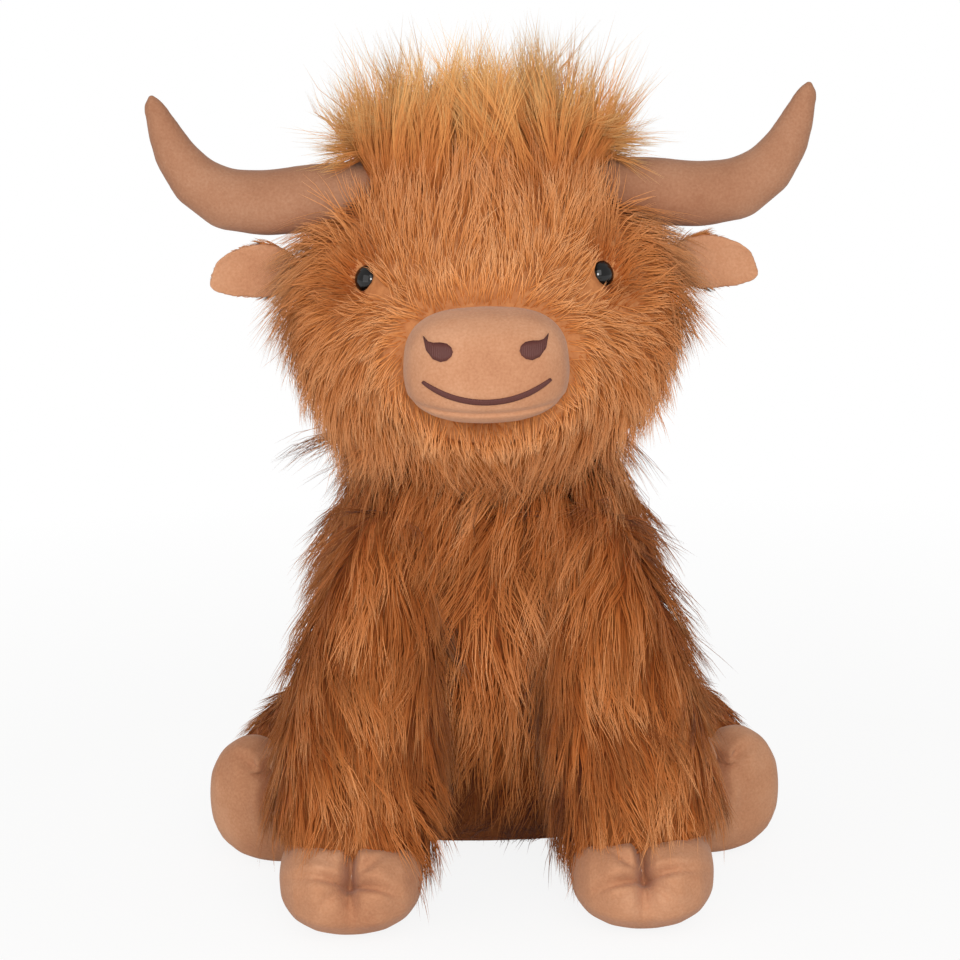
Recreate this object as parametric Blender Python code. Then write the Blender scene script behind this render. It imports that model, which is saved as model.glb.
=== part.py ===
"""Seated plush highland cow: fur and short-pile covers, each over its stuffing.

Metres, +Z up. The cow sits on the floor at z = 0 and faces -Y, with the origin
at the middle of its seat. Left and right are the cow's own, so left is +X.
Each sewn and stuffed part is a cover, which is a shell open at its seam, over a
separate core of stuffing. Parts that flex at a seam hang from an empty there.
"""

import math

import bmesh
import bpy
from mathutils import Matrix, Vector

X, Y, Z = Vector((1, 0, 0)), Vector((0, 1, 0)), Vector((0, 0, 1))
LEFT, RIGHT = 1, -1
SIDE_NAMES = {LEFT: "left", RIGHT: "right"}

# Cloth thicknesses and the clearances between sewn parts
SEAM_GAP = 0.0003
FUR_DEPTH = 0.009
FUR_BACKING = 0.002
SHORT_PILE = 0.002
FLOOR_FLAT = 0.0005
OVERRUN = 0.012
FLOOR_REACH = 0.4
FEEL_STEP = 0.0005

# How many points a round section has
COVER_POINTS = 20
CORE_POINTS = 16
LIMB_POINTS = 14
LIMB_CORE_POINTS = 10
SMALL_POINTS = 12
SOCKET_STEPS = 14

# Torso, from the seat to the ball of the neck that the head turns on
NECK_HEIGHT = 0.168
NECK_FORWARD = 0.025
NECK_RADIUS = 0.056
NECK_OPENING = 0.030
NECK_STEPS = 3
TORSO_HALF_WIDTH = 0.076
TORSO_FRONT_REACH = 0.073
TORSO_BACK_REACH = 0.073
# Height, lean, width, front and back, as shares of the sizes above
TORSO_ROW_SHARES = (
    (0.00, 0.00, 0.71, 0.26, 0.74),
    (0.03, 0.00, 0.82, 0.42, 0.84),
    (0.12, 0.04, 0.91, 0.70, 0.92),
    (0.27, 0.12, 0.96, 0.94, 0.99),
    (0.45, 0.24, 1.00, 1.08, 1.00),
    (0.62, 0.44, 0.99, 1.12, 0.96),
    (0.79, 0.68, 0.97, 1.06, 0.86),
    (0.91, 0.88, 0.89, 0.91, 0.78),
)

# Pouch of plastic pellets that weighs the seat down
POUCH_HALF_WIDTH = 0.030
POUCH_BACK = 0.018
POUCH_HEIGHT = 0.030
# Height and width shares of the pouch
POUCH_ROW_SHARES = ((0.0, 0.86), (0.18, 1.0), (0.55, 0.93), (0.84, 0.62))

# Head, with its snout along -Y
HEAD_FORWARD = 0.038
HEAD_RISE = 0.076
HEAD_HALF_WIDTH = 0.081
HEAD_UPPER_HEIGHT = 0.070
HEAD_LOWER_HEIGHT = 0.062
HEAD_BACK_REACH = 0.072
HEAD_BACK_ANGLES = (72, 50, 26)
SNOUT_REACH = 0.071
SNOUT_DROP = 0.008
# Reach, width, height and drop shares, from the middle of the head to the muzzle
HEAD_ROW_SHARES = (
    (0.00, 1.00, 1.00, 0.00),
    (0.24, 0.97, 0.96, 0.05),
    (0.49, 0.83, 0.83, 0.20),
    (0.69, 0.68, 0.69, 0.42),
    (0.86, 0.56, 0.56, 0.72),
    (1.00, 0.52, 0.515, 1.00),
)

# Muzzle, a short-pile cap sewn over the end of the snout
MUZZLE_REACH = 0.037
MUZZLE_HALF_WIDTH = 0.0340
MUZZLE_UPPER_HEIGHT = 0.0270
MUZZLE_LOWER_HEIGHT = 0.0200
MUZZLE_TOP_SQUARE_SHARE = 0.66
MUZZLE_CHIN_SQUARE_SHARE = 0.84
# Reach, width and height shares
MUZZLE_ROW_SHARES = (
    (0.00, 0.93, 0.93),
    (0.12, 0.98, 0.98),
    (0.38, 1.00, 1.00),
    (0.66, 0.93, 0.92),
    (0.85, 0.74, 0.72),
    (0.96, 0.42, 0.40),
)

# Satin-stitched nostrils and smile, raised from the muzzle
THREAD_RISE = 0.0010
NOSTRIL_SPREAD = 0.018
NOSTRIL_RISE = 0.0120
NOSTRIL_HALF_WIDTH = 0.0050
NOSTRIL_HALF_HEIGHT = 0.0038
# Outward and upward shares of the half sizes, round the drop-shaped nostril
NOSTRIL_OUTLINE_SHARES = (
    (1.35, 1.65), (1.20, 0.90), (1.00, 0.10), (0.74, -0.55), (0.30, -0.94),
    (-0.24, -1.00), (-0.72, -0.72), (-0.98, -0.20), (-0.92, 0.38),
    (-0.55, 0.82), (0.00, 0.98), (0.45, 0.98), (0.80, 1.10), (1.12, 1.40),
)
MOUTH_HALF_WIDTH = 0.0252
MOUTH_SAG = 0.0080
MOUTH_DROP = 0.0078
MOUTH_LINE = 0.0020
MOUTH_STEPS = 10

# Safety eyes: a domed button on a ribbed stem, locked by a washer inside
EYE_SPREAD = 0.052
EYE_RISE = 0.026
EYE_TURN_DEGREES = 46
EYE_LIFT_DEGREES = 10
EYE_RADIUS = 0.006
EYE_DOME = 0.0045
EYE_RIM = 0.0008
EYE_POCKET_CLEARANCE = 0.0004
STEM_RADIUS = 0.0016
STEM_RIB = 0.0003
STEM_PITCH = 0.0026
STEM_RIBS = 3
STEM_LENGTH = 0.013
STEM_CLEARANCE = 0.0003
WASHER_RADIUS = 0.0075
WASHER_THICKNESS = 0.0012
WASHER_COLLAR = 0.0016
WASHER_COLLAR_WALL = 0.0012
WASHER_CLEARANCE = 0.0006

# Horns, from their seam on the side of the crown to the tip
HORN_ROOT_SPREAD = 0.045
HORN_ROOT_RISE = 0.055
HORN_BACK = 0.010
HORN_OUT = 0.095
HORN_LIFT = 0.046
HORN_SWEEP = 0.006
HORN_RADIUS = 0.0152
# Outward, upward, forward and thickness shares
HORN_ROW_SHARES = (
    (0.00, 0.00, 0.00, 1.00),
    (0.27, -0.01, 0.10, 0.98),
    (0.50, -0.05, 0.25, 0.95),
    (0.68, 0.00, 0.45, 0.90),
    (0.81, 0.18, 0.60, 0.76),
    (0.895, 0.43, 0.75, 0.62),
    (0.945, 0.68, 0.88, 0.47),
    (0.980, 0.89, 0.97, 0.31),
    (0.995, 0.99, 1.00, 0.15),
)

# Ears: a furred back and a short-pile lining, sewn on along a short root
EAR_RISE = 0.0205
EAR_BACK = 0.004
EAR_LENGTH = 0.035
EAR_HALF_WIDTH = 0.0125
EAR_DROOP = 0.010
EAR_CUP = 0.0045
EAR_BACK_THICKNESS = 0.0055
EAR_EDGE_SHARE = 0.45
EAR_LINING_SHARE = 0.90
EAR_ROLL = 0.0032
EAR_ACROSS_STEPS = 6
EAR_LINING_START_ROW = 1
# Length, half-width and droop shares
EAR_ROW_SHARES = (
    (0.00, 0.50, 0.00),
    (0.12, 0.72, 0.03),
    (0.30, 0.94, 0.12),
    (0.50, 1.00, 0.28),
    (0.70, 0.93, 0.52),
    (0.87, 0.70, 0.78),
    (0.96, 0.40, 0.94),
)
# Length and thickness shares of the rolled root, ahead of those rows
EAR_ROLL_SHARES = ((-1.0, 0.35), (-0.62, 0.80))

# Forelock, the upright crest of long fur between the horns
FORELOCK_ROOT_RISE = 0.045
FORELOCK_TOP_RISE = 0.114
FORELOCK_HALF_WIDTH = 0.062
FORELOCK_HALF_DEPTH = 0.030
FORELOCK_BACK = 0.003
# Height, width and depth shares
FORELOCK_ROW_SHARES = (
    (0.00, 0.90, 0.90),
    (0.36, 0.95, 1.00),
    (0.56, 0.99, 0.96),
    (0.74, 1.00, 0.82),
    (0.89, 0.90, 0.62),
    (0.97, 0.66, 0.38),
)

# Front legs, hung from a seam at the shoulder
SHOULDER_SPREAD = 0.042
SHOULDER_RISE = 0.001
SHOULDER_SHARE = 0.93
FRONT_ANKLE_SPREAD = 0.061
FRONT_ANKLE_REACH = 0.048
FRONT_ANKLE_HEIGHT = 0.034
FRONT_LEG_RADIUS = 0.034
# Sideways, forward, downward and thickness shares, from shoulder to ankle
FRONT_LEG_ROW_SHARES = (
    (0.05, 0.10, 0.05, 0.32),
    (0.20, 0.24, 0.20, 0.56),
    (0.45, 0.41, 0.42, 0.80),
    (0.72, 0.66, 0.66, 0.95),
    (0.94, 0.93, 0.87, 1.00),
    (1.00, 1.00, 1.00, 0.91),
)

# Hind legs, which lie forward and outward along the floor
HIP_HEIGHT = 0.036
HIP_ANGLE_DEGREES = 62
THIGH_RADIUS = 0.035
HIND_ANKLE_SPREAD = 0.094
HIND_ANKLE_REACH = 0.028
HIND_ANKLE_HEIGHT = 0.030
THIGH_SPREAD = 0.066
THIGH_BACK = 0.020
THIGH_START_SPREAD = 0.048
THIGH_START_BACK = 0.062
# Along the leg from its rear to the ankle, outward swell and thickness shares
HIND_LEG_ROW_SHARES = (
    (0.03, 0.00, 0.36),
    (0.14, 0.10, 0.72),
    (0.34, 0.16, 0.98),
    (0.56, 0.14, 1.00),
    (0.78, 0.08, 0.92),
    (1.00, 0.00, 0.80),
)
HIND_SWELL = 0.022

# Cloven hooves of short-pile cloth, drawn in at the cleft by a stitch
HOOF_HALF_WIDTH = 0.0305
FRONT_HOOF_TOE = 0.037
FRONT_HOOF_HEEL = 0.036
FRONT_HOOF_RISE = 0.023
FRONT_HOOF_SOLE = 0.022
FRONT_HOOF_FORWARD = 0.010
HIND_HOOF_TOE = 0.031
HIND_HOOF_HEEL = 0.029
HIND_HOOF_RISE = 0.024
HIND_HOOF_SOLE = 0.017
HIND_HOOF_FORWARD = 0.012
CLEFT_DEPTH_SHARE = 0.30
CLEFT_WIDTH_SHARE = 0.17
CLEFT_SPAN_DEGREES = 62
FRONT_CLEFT_DEGREES = 24
HIND_CLEFT_DEGREES = -8
HOOF_POINTS = 12
HOOF_SQUARE_SHARE = 0.84
# Stations across the hoof, as shares of its half-width
HOOF_STATION_SHARES = (
    -0.94, -0.76, -0.46, -0.20, -0.07, 0.0, 0.07, 0.20, 0.46, 0.76, 0.94
)
HOOF_CORE_GAP = 0.0008
ANKLE_TUCK = 0.006
ANKLE_NECK_SHARE = 0.74

# Tail: a slim furred tube that ends in a long tuft
TAIL_HEIGHT = 0.062
TAIL_RADIUS = 0.0065
TAIL_OUT = 0.016
TAIL_FALL = 0.030
TUFT_LENGTH = 0.026
TUFT_RADIUS = 0.0115
# Outward, downward and thickness shares
TAIL_ROW_SHARES = (
    (0.00, 0.00, 0.95),
    (0.35, 0.02, 1.00),
    (0.72, 0.20, 1.00),
    (0.92, 0.52, 0.98),
    (1.00, 1.00, 0.92),
)
# Length, outward lean and thickness shares of the tuft
TUFT_ROW_SHARES = (
    (0.00, 0.00, 0.60),
    (0.16, 0.10, 0.86),
    (0.42, 0.22, 1.00),
    (0.70, 0.32, 0.88),
    (0.90, 0.38, 0.52),
)

# Colours as linear values, with roughness
FUR_ORANGE = (0.42, 0.145, 0.040, 0.95)
SHORT_PILE_TAN = (0.52, 0.255, 0.125, 0.90)
THREAD_BROWN = (0.085, 0.025, 0.018, 0.70)
EYE_BLACK = (0.006, 0.005, 0.005, 0.08)
STUFFING_WHITE = (0.80, 0.79, 0.76, 1.00)
POUCH_CLOTH = (0.72, 0.70, 0.66, 0.90)
WASHER_WHITE = (0.78, 0.78, 0.76, 0.45)


def clear_scene():
    for obj in list(bpy.data.objects):
        bpy.data.objects.remove(obj)


def finish(name, values):
    """A plain material from a linear colour and a roughness."""
    material = bpy.data.materials.new(name)
    material.use_nodes = True
    surface = material.node_tree.nodes["Principled BSDF"]
    surface.inputs["Base Color"].default_value = (*values[:3], 1)
    surface.inputs["Roughness"].default_value = values[3]
    return material


# Building blocks


def oval(centre, across, up, half_across, rise, fall, count, top=1.0, foot=1.0):
    """A closed ring of points, rise above its centre and fall below it.

    top and foot make the upper and lower half squarer as they go below 1.
    """
    points = []
    for step in range(count):
        angle = 2 * math.pi * step / count
        along, high = math.cos(angle), math.sin(angle)
        square = top if high > 0 else foot
        sideways = math.copysign(abs(along) ** square, along) * half_across
        upward = math.copysign(abs(high) ** square, high) * (rise if high > 0 else fall)
        points.append(centre + across * sideways + up * upward)
    return points


def skin(name, rings, looped=False):
    """A closed mesh through rings of points. A ring of one point is a pole."""
    mesh = bmesh.new()
    loops = [[mesh.verts.new(point) for point in ring] for ring in rings]
    pairs = list(zip(loops, loops[1:]))
    if looped:
        pairs.append((loops[-1], loops[0]))
    for low, high in pairs:
        count = max(len(low), len(high))
        for step in range(count):
            after = (step + 1) % count
            if len(low) > 1:
                mesh.faces.new((low[step], low[after], high[step % len(high)]))
            if len(high) > 1:
                mesh.faces.new((low[after % len(low)], high[after], high[step]))
    if not looped:
        for loop in (loops[0], loops[-1]):
            if len(loop) > 1:
                mesh.faces.new(loop)
    bmesh.ops.recalc_face_normals(mesh, faces=mesh.faces)
    data = bpy.data.meshes.new(name)
    mesh.to_mesh(data)
    mesh.free()
    data.shade_smooth()
    obj = bpy.data.objects.new(name, data)
    bpy.context.scene.collection.objects.link(obj)
    return obj


def dress(obj, material):
    obj.data.materials.append(material)
    return obj


def guide(obj):
    """Marks a cutter, which isn't a piece of the cow."""
    obj.hide_render = True
    obj.display_type = "WIRE"
    return obj


def combine(obj, tool, operation="DIFFERENCE"):
    modifier = obj.modifiers.new(f"{operation.lower()} {tool.name}", "BOOLEAN")
    modifier.operation = operation
    modifier.solver = "EXACT"
    modifier.object = tool
    return obj


def hang(pieces, empty):
    """Gives each piece its origin at the empty, which stands on its joint's axis."""
    for piece in pieces:
        piece.data.transform(Matrix.Translation(-empty.location))
        piece.parent = empty


def joint_empty(name, place):
    empty = bpy.data.objects.new(name, None)
    empty.location = place
    bpy.context.scene.collection.objects.link(empty)
    return empty


def box_cutter(name, low, high):
    """An axis-aligned box between two corners."""
    def level(z):
        return [
            Vector((low.x, low.y, z)), Vector((high.x, low.y, z)),
            Vector((high.x, high.y, z)), Vector((low.x, high.y, z)),
        ]
    return guide(skin(name, [level(low.z), level(high.z)]))


def spine_rings(points, radii, across, count, flatten=1.0):
    """Round sections square to a spine. across is the side that each one keeps."""
    rings = []
    for step, (point, radius) in enumerate(zip(points, radii)):
        before = points[max(step - 1, 0)]
        after = points[min(step + 1, len(points) - 1)]
        along = (after - before).normalized()
        up = along.cross(across).normalized()
        side = up.cross(along).normalized()
        rings.append(oval(point, side, up, radius, radius * flatten, radius * flatten, count))
    return rings


def axes_at(place, across, up, axis):
    """A frame with its axes as columns and its origin at place."""
    frame = Matrix((across, up, axis)).transposed().to_4x4()
    frame.translation = place
    return frame


def turned(name, profile, frame, count, looped=False):
    """A turned shape from (radius, distance along the frame's own Z) points."""
    rings = []
    for radius, along in profile:
        if radius == 0:
            rings.append([frame @ Vector((0, 0, along))])
            continue
        centre = Vector((0, 0, along))
        ring = oval(centre, X, Y, radius, radius, radius, count)
        rings.append([frame @ point for point in ring])
    return skin(name, rings, looped)


# Torso


def neck_pivot():
    return Vector((0, -NECK_FORWARD, NECK_HEIGHT))


def torso_rings(inset, count):
    """Level rings from the flat seat up to where the ball of the neck begins."""
    rings = []
    for height, lean, width, front, back in TORSO_ROW_SHARES:
        level = inset + height * (NECK_HEIGHT - inset)
        rings.append(oval(
            Vector((0, -lean * NECK_FORWARD, level)), X, -Y,
            width * TORSO_HALF_WIDTH - inset,
            front * TORSO_FRONT_REACH - inset,
            back * TORSO_BACK_REACH - inset,
            count,
        ))
    return rings


def neck_ring(radius, level, count):
    centre = neck_pivot() + Z * level
    return oval(centre, X, -Y, radius, radius, radius, count)


def neck_dome(radius, widest, narrowest, count):
    """Rings of the neck's ball between two radii, from the lower one up."""
    start = math.acos(min(widest / radius, 1))
    end = math.acos(min(narrowest / radius, 1))
    rings = []
    for step in range(NECK_STEPS + 1):
        angle = start + (end - start) * step / NECK_STEPS
        rings.append(neck_ring(radius * math.cos(angle), radius * math.sin(angle), count))
    return rings


def torso_form(name, inset, count):
    """The whole outside of the torso, moved in by inset."""
    radius = NECK_RADIUS - inset
    rings = torso_rings(inset, count)
    rings += neck_dome(radius, radius, radius * math.cos(math.radians(80)), count)
    rings.append([neck_pivot() + Z * radius])
    return skin(name, rings)


def torso_hollow(name):
    """The inside of the torso's cover, with a way out through the neck."""
    radius = NECK_RADIUS - FUR_DEPTH
    rings = torso_rings(FUR_DEPTH, CORE_POINTS)
    rings += neck_dome(radius, radius, NECK_OPENING, CORE_POINTS)
    rings.append(neck_ring(NECK_OPENING, NECK_RADIUS + OVERRUN, CORE_POINTS))
    return guide(skin(name, rings))


def torso_core(name):
    """Stuffing that fills the torso's cover and comes up level with the neck."""
    inset = FUR_DEPTH + SEAM_GAP
    radius = NECK_RADIUS - inset
    opening = NECK_OPENING - SEAM_GAP
    rings = torso_rings(inset, CORE_POINTS)
    rings += neck_dome(radius, radius, opening, CORE_POINTS)
    rings += neck_dome(NECK_RADIUS, opening, opening / 2, CORE_POINTS)
    rings.append([neck_pivot() + Z * NECK_RADIUS])
    return skin(name, rings)


def torso_section(height):
    """Centre, half-width, front and back of the torso at a height."""
    rows = [
        (share * NECK_HEIGHT, -lean * NECK_FORWARD, width * TORSO_HALF_WIDTH,
         front * TORSO_FRONT_REACH, back * TORSO_BACK_REACH)
        for share, lean, width, front, back in TORSO_ROW_SHARES
    ]
    rows.append((NECK_HEIGHT, -NECK_FORWARD, NECK_RADIUS, NECK_RADIUS, NECK_RADIUS))
    return between(rows, height)


def between(rows, place):
    """The values of a table at a place between two of its rows."""
    for low, high in zip(rows, rows[1:]):
        if place <= high[0] or high is rows[-1]:
            share = (place - low[0]) / (high[0] - low[0])
            share = min(max(share, 0), 1)
            return [a + (b - a) * share for a, b in zip(low[1:], high[1:])]
    return list(rows[-1][1:])


def torso_front_at(sideways, height):
    centre, half_width, front, back = torso_section(height)
    return centre - front * math.sqrt(max(1 - (sideways / half_width) ** 2, 0))


def build_torso(fur, stuffing, cloth):
    cover = dress(torso_form("torso_cover", 0, COVER_POINTS), fur)
    combine(cover, torso_hollow("torso hollow"))
    core = dress(torso_core("torso_filling"), stuffing)
    combine(core, guide(pouch_form("pouch space", SEAM_GAP, -OVERRUN)))
    dress(pouch_form("pellet_pouch", 0, 0), cloth)


def pouch_form(name, grow, drop):
    """A cushion of pellets on the floor of the cover, grown and started lower."""
    floor = Vector((0, POUCH_BACK, FUR_DEPTH + SEAM_GAP))
    rings = []
    if drop:
        width = POUCH_ROW_SHARES[0][1] * POUCH_HALF_WIDTH + grow
        rings.append(oval(floor + Z * drop, X, -Y, width, width, width, CORE_POINTS))
    for height, share in POUCH_ROW_SHARES:
        width = share * POUCH_HALF_WIDTH + grow
        centre = floor + Z * height * POUCH_HEIGHT
        rings.append(oval(centre, X, -Y, width, width, width, CORE_POINTS))
    rings.append([floor + Z * (POUCH_HEIGHT + grow)])
    return skin(name, rings)


# Head


def head_centre():
    return neck_pivot() + Vector((0, -HEAD_FORWARD, HEAD_RISE))


def seam_centre():
    """The middle of the seam that joins the snout to the muzzle."""
    return head_centre() - Y * SNOUT_REACH - Z * SNOUT_DROP


def head_rows(inset):
    """Distance behind the head's centre, its drop, half-width, rise and fall."""
    rows = []
    for degrees in HEAD_BACK_ANGLES:
        angle = math.radians(degrees)
        shrink = math.cos(angle)
        rows.append((
            (HEAD_BACK_REACH - inset) * math.sin(angle), 0,
            (HEAD_HALF_WIDTH - inset) * shrink,
            (HEAD_UPPER_HEIGHT - inset) * shrink,
            (HEAD_LOWER_HEIGHT - inset) * shrink,
        ))
    for reach, width, height, drop in HEAD_ROW_SHARES:
        rows.append((
            -reach * SNOUT_REACH, drop * SNOUT_DROP,
            width * HEAD_HALF_WIDTH - inset,
            height * HEAD_UPPER_HEIGHT - inset,
            height * HEAD_LOWER_HEIGHT - inset,
        ))
    return rows


def head_rings(inset, count):
    """Upright rings from the pole at the back of the head to the snout's seam."""
    centre = head_centre()
    rings = [[centre + Y * (HEAD_BACK_REACH - inset)]]
    for back, drop, half_width, rise, fall in head_rows(inset):
        place = centre + Y * back - Z * drop
        rings.append(oval(place, X, Z, half_width, rise, fall, count))
    return rings


def head_form(name, inset, count):
    return skin(name, head_rings(inset, count))


def head_hollow(name):
    """The inside of the head's cover, with a way out at the muzzle's seam."""
    rings = head_rings(FUR_DEPTH, CORE_POINTS)
    rings.append([point - Y * OVERRUN for point in rings[-1]])
    return guide(skin(name, rings))


def muzzle_rings(inset, count, start=0.0):
    """Upright rings of the muzzle, from the seam, or start beyond it, forward."""
    centre = seam_centre() - Y * start
    reach_of_cap = MUZZLE_REACH - start - inset
    rings = []
    for reach, width, height in MUZZLE_ROW_SHARES:
        rings.append(oval(
            centre - Y * reach * reach_of_cap, X, Z,
            width * MUZZLE_HALF_WIDTH - inset,
            height * MUZZLE_UPPER_HEIGHT - inset,
            height * MUZZLE_LOWER_HEIGHT - inset,
            count, MUZZLE_TOP_SQUARE_SHARE, MUZZLE_CHIN_SQUARE_SHARE,
        ))
    rings.append([centre - Y * reach_of_cap])
    return rings


def build_muzzle(short_pile, thread):
    cover = skin("muzzle_cover", muzzle_rings(0, COVER_POINTS, SEAM_GAP))
    dress(cover, short_pile)
    hollow = muzzle_rings(SHORT_PILE, CORE_POINTS)
    hollow.insert(0, [point + Y * OVERRUN for point in hollow[0]])
    combine(cover, guide(skin("muzzle hollow", hollow)))

    under = guide(skin("under thread", muzzle_rings(-SEAM_GAP, COVER_POINTS)))
    rise = -SEAM_GAP - THREAD_RISE
    over = guide(skin("over thread", muzzle_rings(rise, COVER_POINTS)))
    pads = [stitched("mouth", mouth_outline())]
    for side, word in SIDE_NAMES.items():
        pads.append(stitched(f"{word}_nostril", nostril_outline(side)))
    for pad in pads:
        dress(pad, thread)
        combine(pad, over, "INTERSECT")
        combine(pad, under)
    return [cover, *pads]


def stitched(name, outline):
    """A prism along Y over an outline, deep enough to meet the muzzle's front."""
    front = seam_centre().y - MUZZLE_REACH - OVERRUN
    back = seam_centre().y - MUZZLE_REACH / 3
    rings = [[Vector((x, y, z)) for x, z in outline] for y in (front, back)]
    return skin(name, rings)


def nostril_outline(side):
    centre = seam_centre()
    return [
        (side * (NOSTRIL_SPREAD + out * NOSTRIL_HALF_WIDTH),
         centre.z + NOSTRIL_RISE + up * NOSTRIL_HALF_HEIGHT)
        for out, up in NOSTRIL_OUTLINE_SHARES
    ]


def mouth_outline():
    """A band of even width along an arc through both corners and the low point."""
    radius = (MOUTH_HALF_WIDTH ** 2 + MOUTH_SAG ** 2) / (2 * MOUTH_SAG)
    half_angle = math.asin(MOUTH_HALF_WIDTH / radius)
    middle = seam_centre().z - MOUTH_DROP + radius
    edges = []
    for edge in (radius + MOUTH_LINE / 2, radius - MOUTH_LINE / 2):
        points = []
        for step in range(MOUTH_STEPS + 1):
            angle = half_angle * (2 * step / MOUTH_STEPS - 1)
            points.append((edge * math.sin(angle), middle - edge * math.cos(angle)))
        edges.append(points)
    return edges[0] + edges[1][::-1]


def build_head(fur, stuffing):
    cover = dress(head_form("head_cover", 0, COVER_POINTS), fur)
    combine(cover, head_hollow("head hollow"))
    core_rings = head_rings(FUR_DEPTH + SEAM_GAP, CORE_POINTS)[:-1]
    nose = muzzle_rings(SHORT_PILE + SEAM_GAP, CORE_POINTS)
    core_rings.append([point + Y * FUR_DEPTH / 2 for point in nose[0]])
    core_rings += nose
    core = dress(skin("head_filling", core_rings), stuffing)
    for piece in (cover, core):
        combine(piece, neck_ball())
    return cover, core


def neck_ball():
    """The socket for the neck, whose flat facets clear the ball as the head turns."""
    half_facet = math.pi / (2 * SOCKET_STEPS)
    radius = (NECK_RADIUS + SEAM_GAP) / math.cos(half_facet) ** 2
    profile = [(0, -radius)]
    for step in range(1, SOCKET_STEPS):
        angle = math.pi * step / SOCKET_STEPS
        profile.append((radius * math.sin(angle), -radius * math.cos(angle)))
    profile.append((0, radius))
    frame = Matrix.Translation(neck_pivot())
    return guide(turned("neck ball", profile, frame, 2 * SOCKET_STEPS))


def head_feel(point):
    """Under 0 inside the head's outside, and over 0 outside it."""
    centre = head_centre()
    rows = sorted(head_rows(0))
    drop, half_width, rise, fall = between(rows, point.y - centre.y)
    high = point.z - centre.z + drop
    reach = rise if high > 0 else fall
    return (point.x / half_width) ** 2 + (high / reach) ** 2 - 1


def head_front_at(sideways, height):
    """The point of the head's face at a place seen from the front."""
    inside, outside = head_centre().y, seam_centre().y
    while inside - outside > FEEL_STEP / 10:
        middle = (inside + outside) / 2
        if head_feel(Vector((sideways, middle, height))) < 0:
            inside = middle
        else:
            outside = middle
    return Vector((sideways, inside, height))


def head_side_at(depth, height):
    """The half-width of the head at a depth and a height."""
    centre = head_centre()
    drop, half_width, rise, fall = between(sorted(head_rows(0)), depth - centre.y)
    high = (height - centre.z + drop) / rise
    return half_width * math.sqrt(max(1 - high ** 2, 0))


# Eyes


def eye_frame(side):
    """The eye's own frame, with Z out of the head and its origin in the fur's face."""
    centre = head_centre()
    place = head_front_at(side * EYE_SPREAD, centre.z + EYE_RISE)
    turn = math.radians(EYE_TURN_DEGREES)
    lift = math.radians(EYE_LIFT_DEGREES)
    axis = Vector((
        side * math.sin(turn) * math.cos(lift),
        -math.cos(turn) * math.cos(lift),
        math.sin(lift),
    ))
    across = axis.cross(Z).normalized()
    return axes_at(place, across, axis.cross(across), axis)


def eye_seat():
    """How deep in the fur the eye's back lies, on the cloth that backs the pile."""
    return FUR_DEPTH - FUR_BACKING - SEAM_GAP


def eye_profile():
    """Stem with its ribs, then the rim and the dome of the button."""
    seat = -eye_seat()
    tip = seat - STEM_LENGTH
    points = [(0, tip), (STEM_RADIUS * 0.6, tip)]
    for rib in range(STEM_RIBS):
        low = tip + STEM_PITCH * (rib + 0.5)
        points += [(STEM_RADIUS, low), (STEM_RADIUS + STEM_RIB, low + STEM_PITCH / 2)]
    points += [(STEM_RADIUS, seat), (EYE_RADIUS, seat), (EYE_RADIUS, seat + EYE_RIM)]
    for degrees in (22, 44, 68):
        angle = math.radians(degrees)
        height = EYE_RIM + (EYE_DOME - EYE_RIM) * math.sin(angle)
        points.append((EYE_RADIUS * math.cos(angle), seat + height))
    return points + [(0, seat + EYE_DOME)]


def eye_space_profile():
    """The pocket in the pile, the stem's hole and the flat that the washer meets."""
    wide = EYE_RADIUS + EYE_POCKET_CLEARANCE
    narrow = STEM_RADIUS + STEM_RIB + STEM_CLEARANCE
    floor = -(FUR_DEPTH - FUR_BACKING)
    inner = -FUR_DEPTH
    washer = WASHER_RADIUS + WASHER_CLEARANCE
    depth = inner - WASHER_THICKNESS - WASHER_COLLAR - WASHER_CLEARANCE
    end = -eye_seat() - STEM_LENGTH - WASHER_CLEARANCE
    return [
        (0, end), (narrow, end), (narrow, depth), (washer, depth), (washer, inner),
        (narrow, inner), (narrow, floor), (wide, floor), (wide, OVERRUN), (0, OVERRUN),
    ]


def washer_profile():
    """A flat ring with a gripping collar, as a closed loop round its hole."""
    hole = STEM_RADIUS + STEM_RIB + SEAM_GAP
    top = -FUR_DEPTH - SEAM_GAP
    bottom = top - WASHER_THICKNESS
    collar = hole + WASHER_COLLAR_WALL
    return [
        (hole, top), (WASHER_RADIUS, top), (WASHER_RADIUS, bottom),
        (collar, bottom), (collar, bottom - WASHER_COLLAR), (hole, bottom - WASHER_COLLAR),
    ]


def build_eye(side, head_pieces, black, white):
    word = SIDE_NAMES[side]
    frame = eye_frame(side)
    space = guide(turned(f"{word} eye space", eye_space_profile(), frame, SMALL_POINTS))
    for piece in head_pieces:
        combine(piece, space)
    eye = dress(turned(f"{word}_eye", eye_profile(), frame, SMALL_POINTS), black)
    washer = turned(f"{word}_eye_washer", washer_profile(), frame, SMALL_POINTS, True)
    return [eye, dress(washer, white)]


# Horns


def horn_rings(side, inset, count):
    """Round sections along the horn, and the pole at its tip."""
    root = head_centre() + Vector((side * HORN_ROOT_SPREAD, HORN_BACK, HORN_ROOT_RISE))
    points, radii = [], []
    for out, up, sweep, thick in HORN_ROW_SHARES:
        radius = thick * HORN_RADIUS - inset
        if radius < HORN_RADIUS / 12:
            break
        points.append(root + Vector((
            side * out * HORN_OUT, -sweep * HORN_SWEEP, up * HORN_LIFT,
        )))
        radii.append(radius)
    rings = spine_rings(points, radii, Y, count)
    tip = points[-1] + (points[-1] - points[-2]).normalized() * radii[-1] * 0.6
    return rings + [[tip]]


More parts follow.
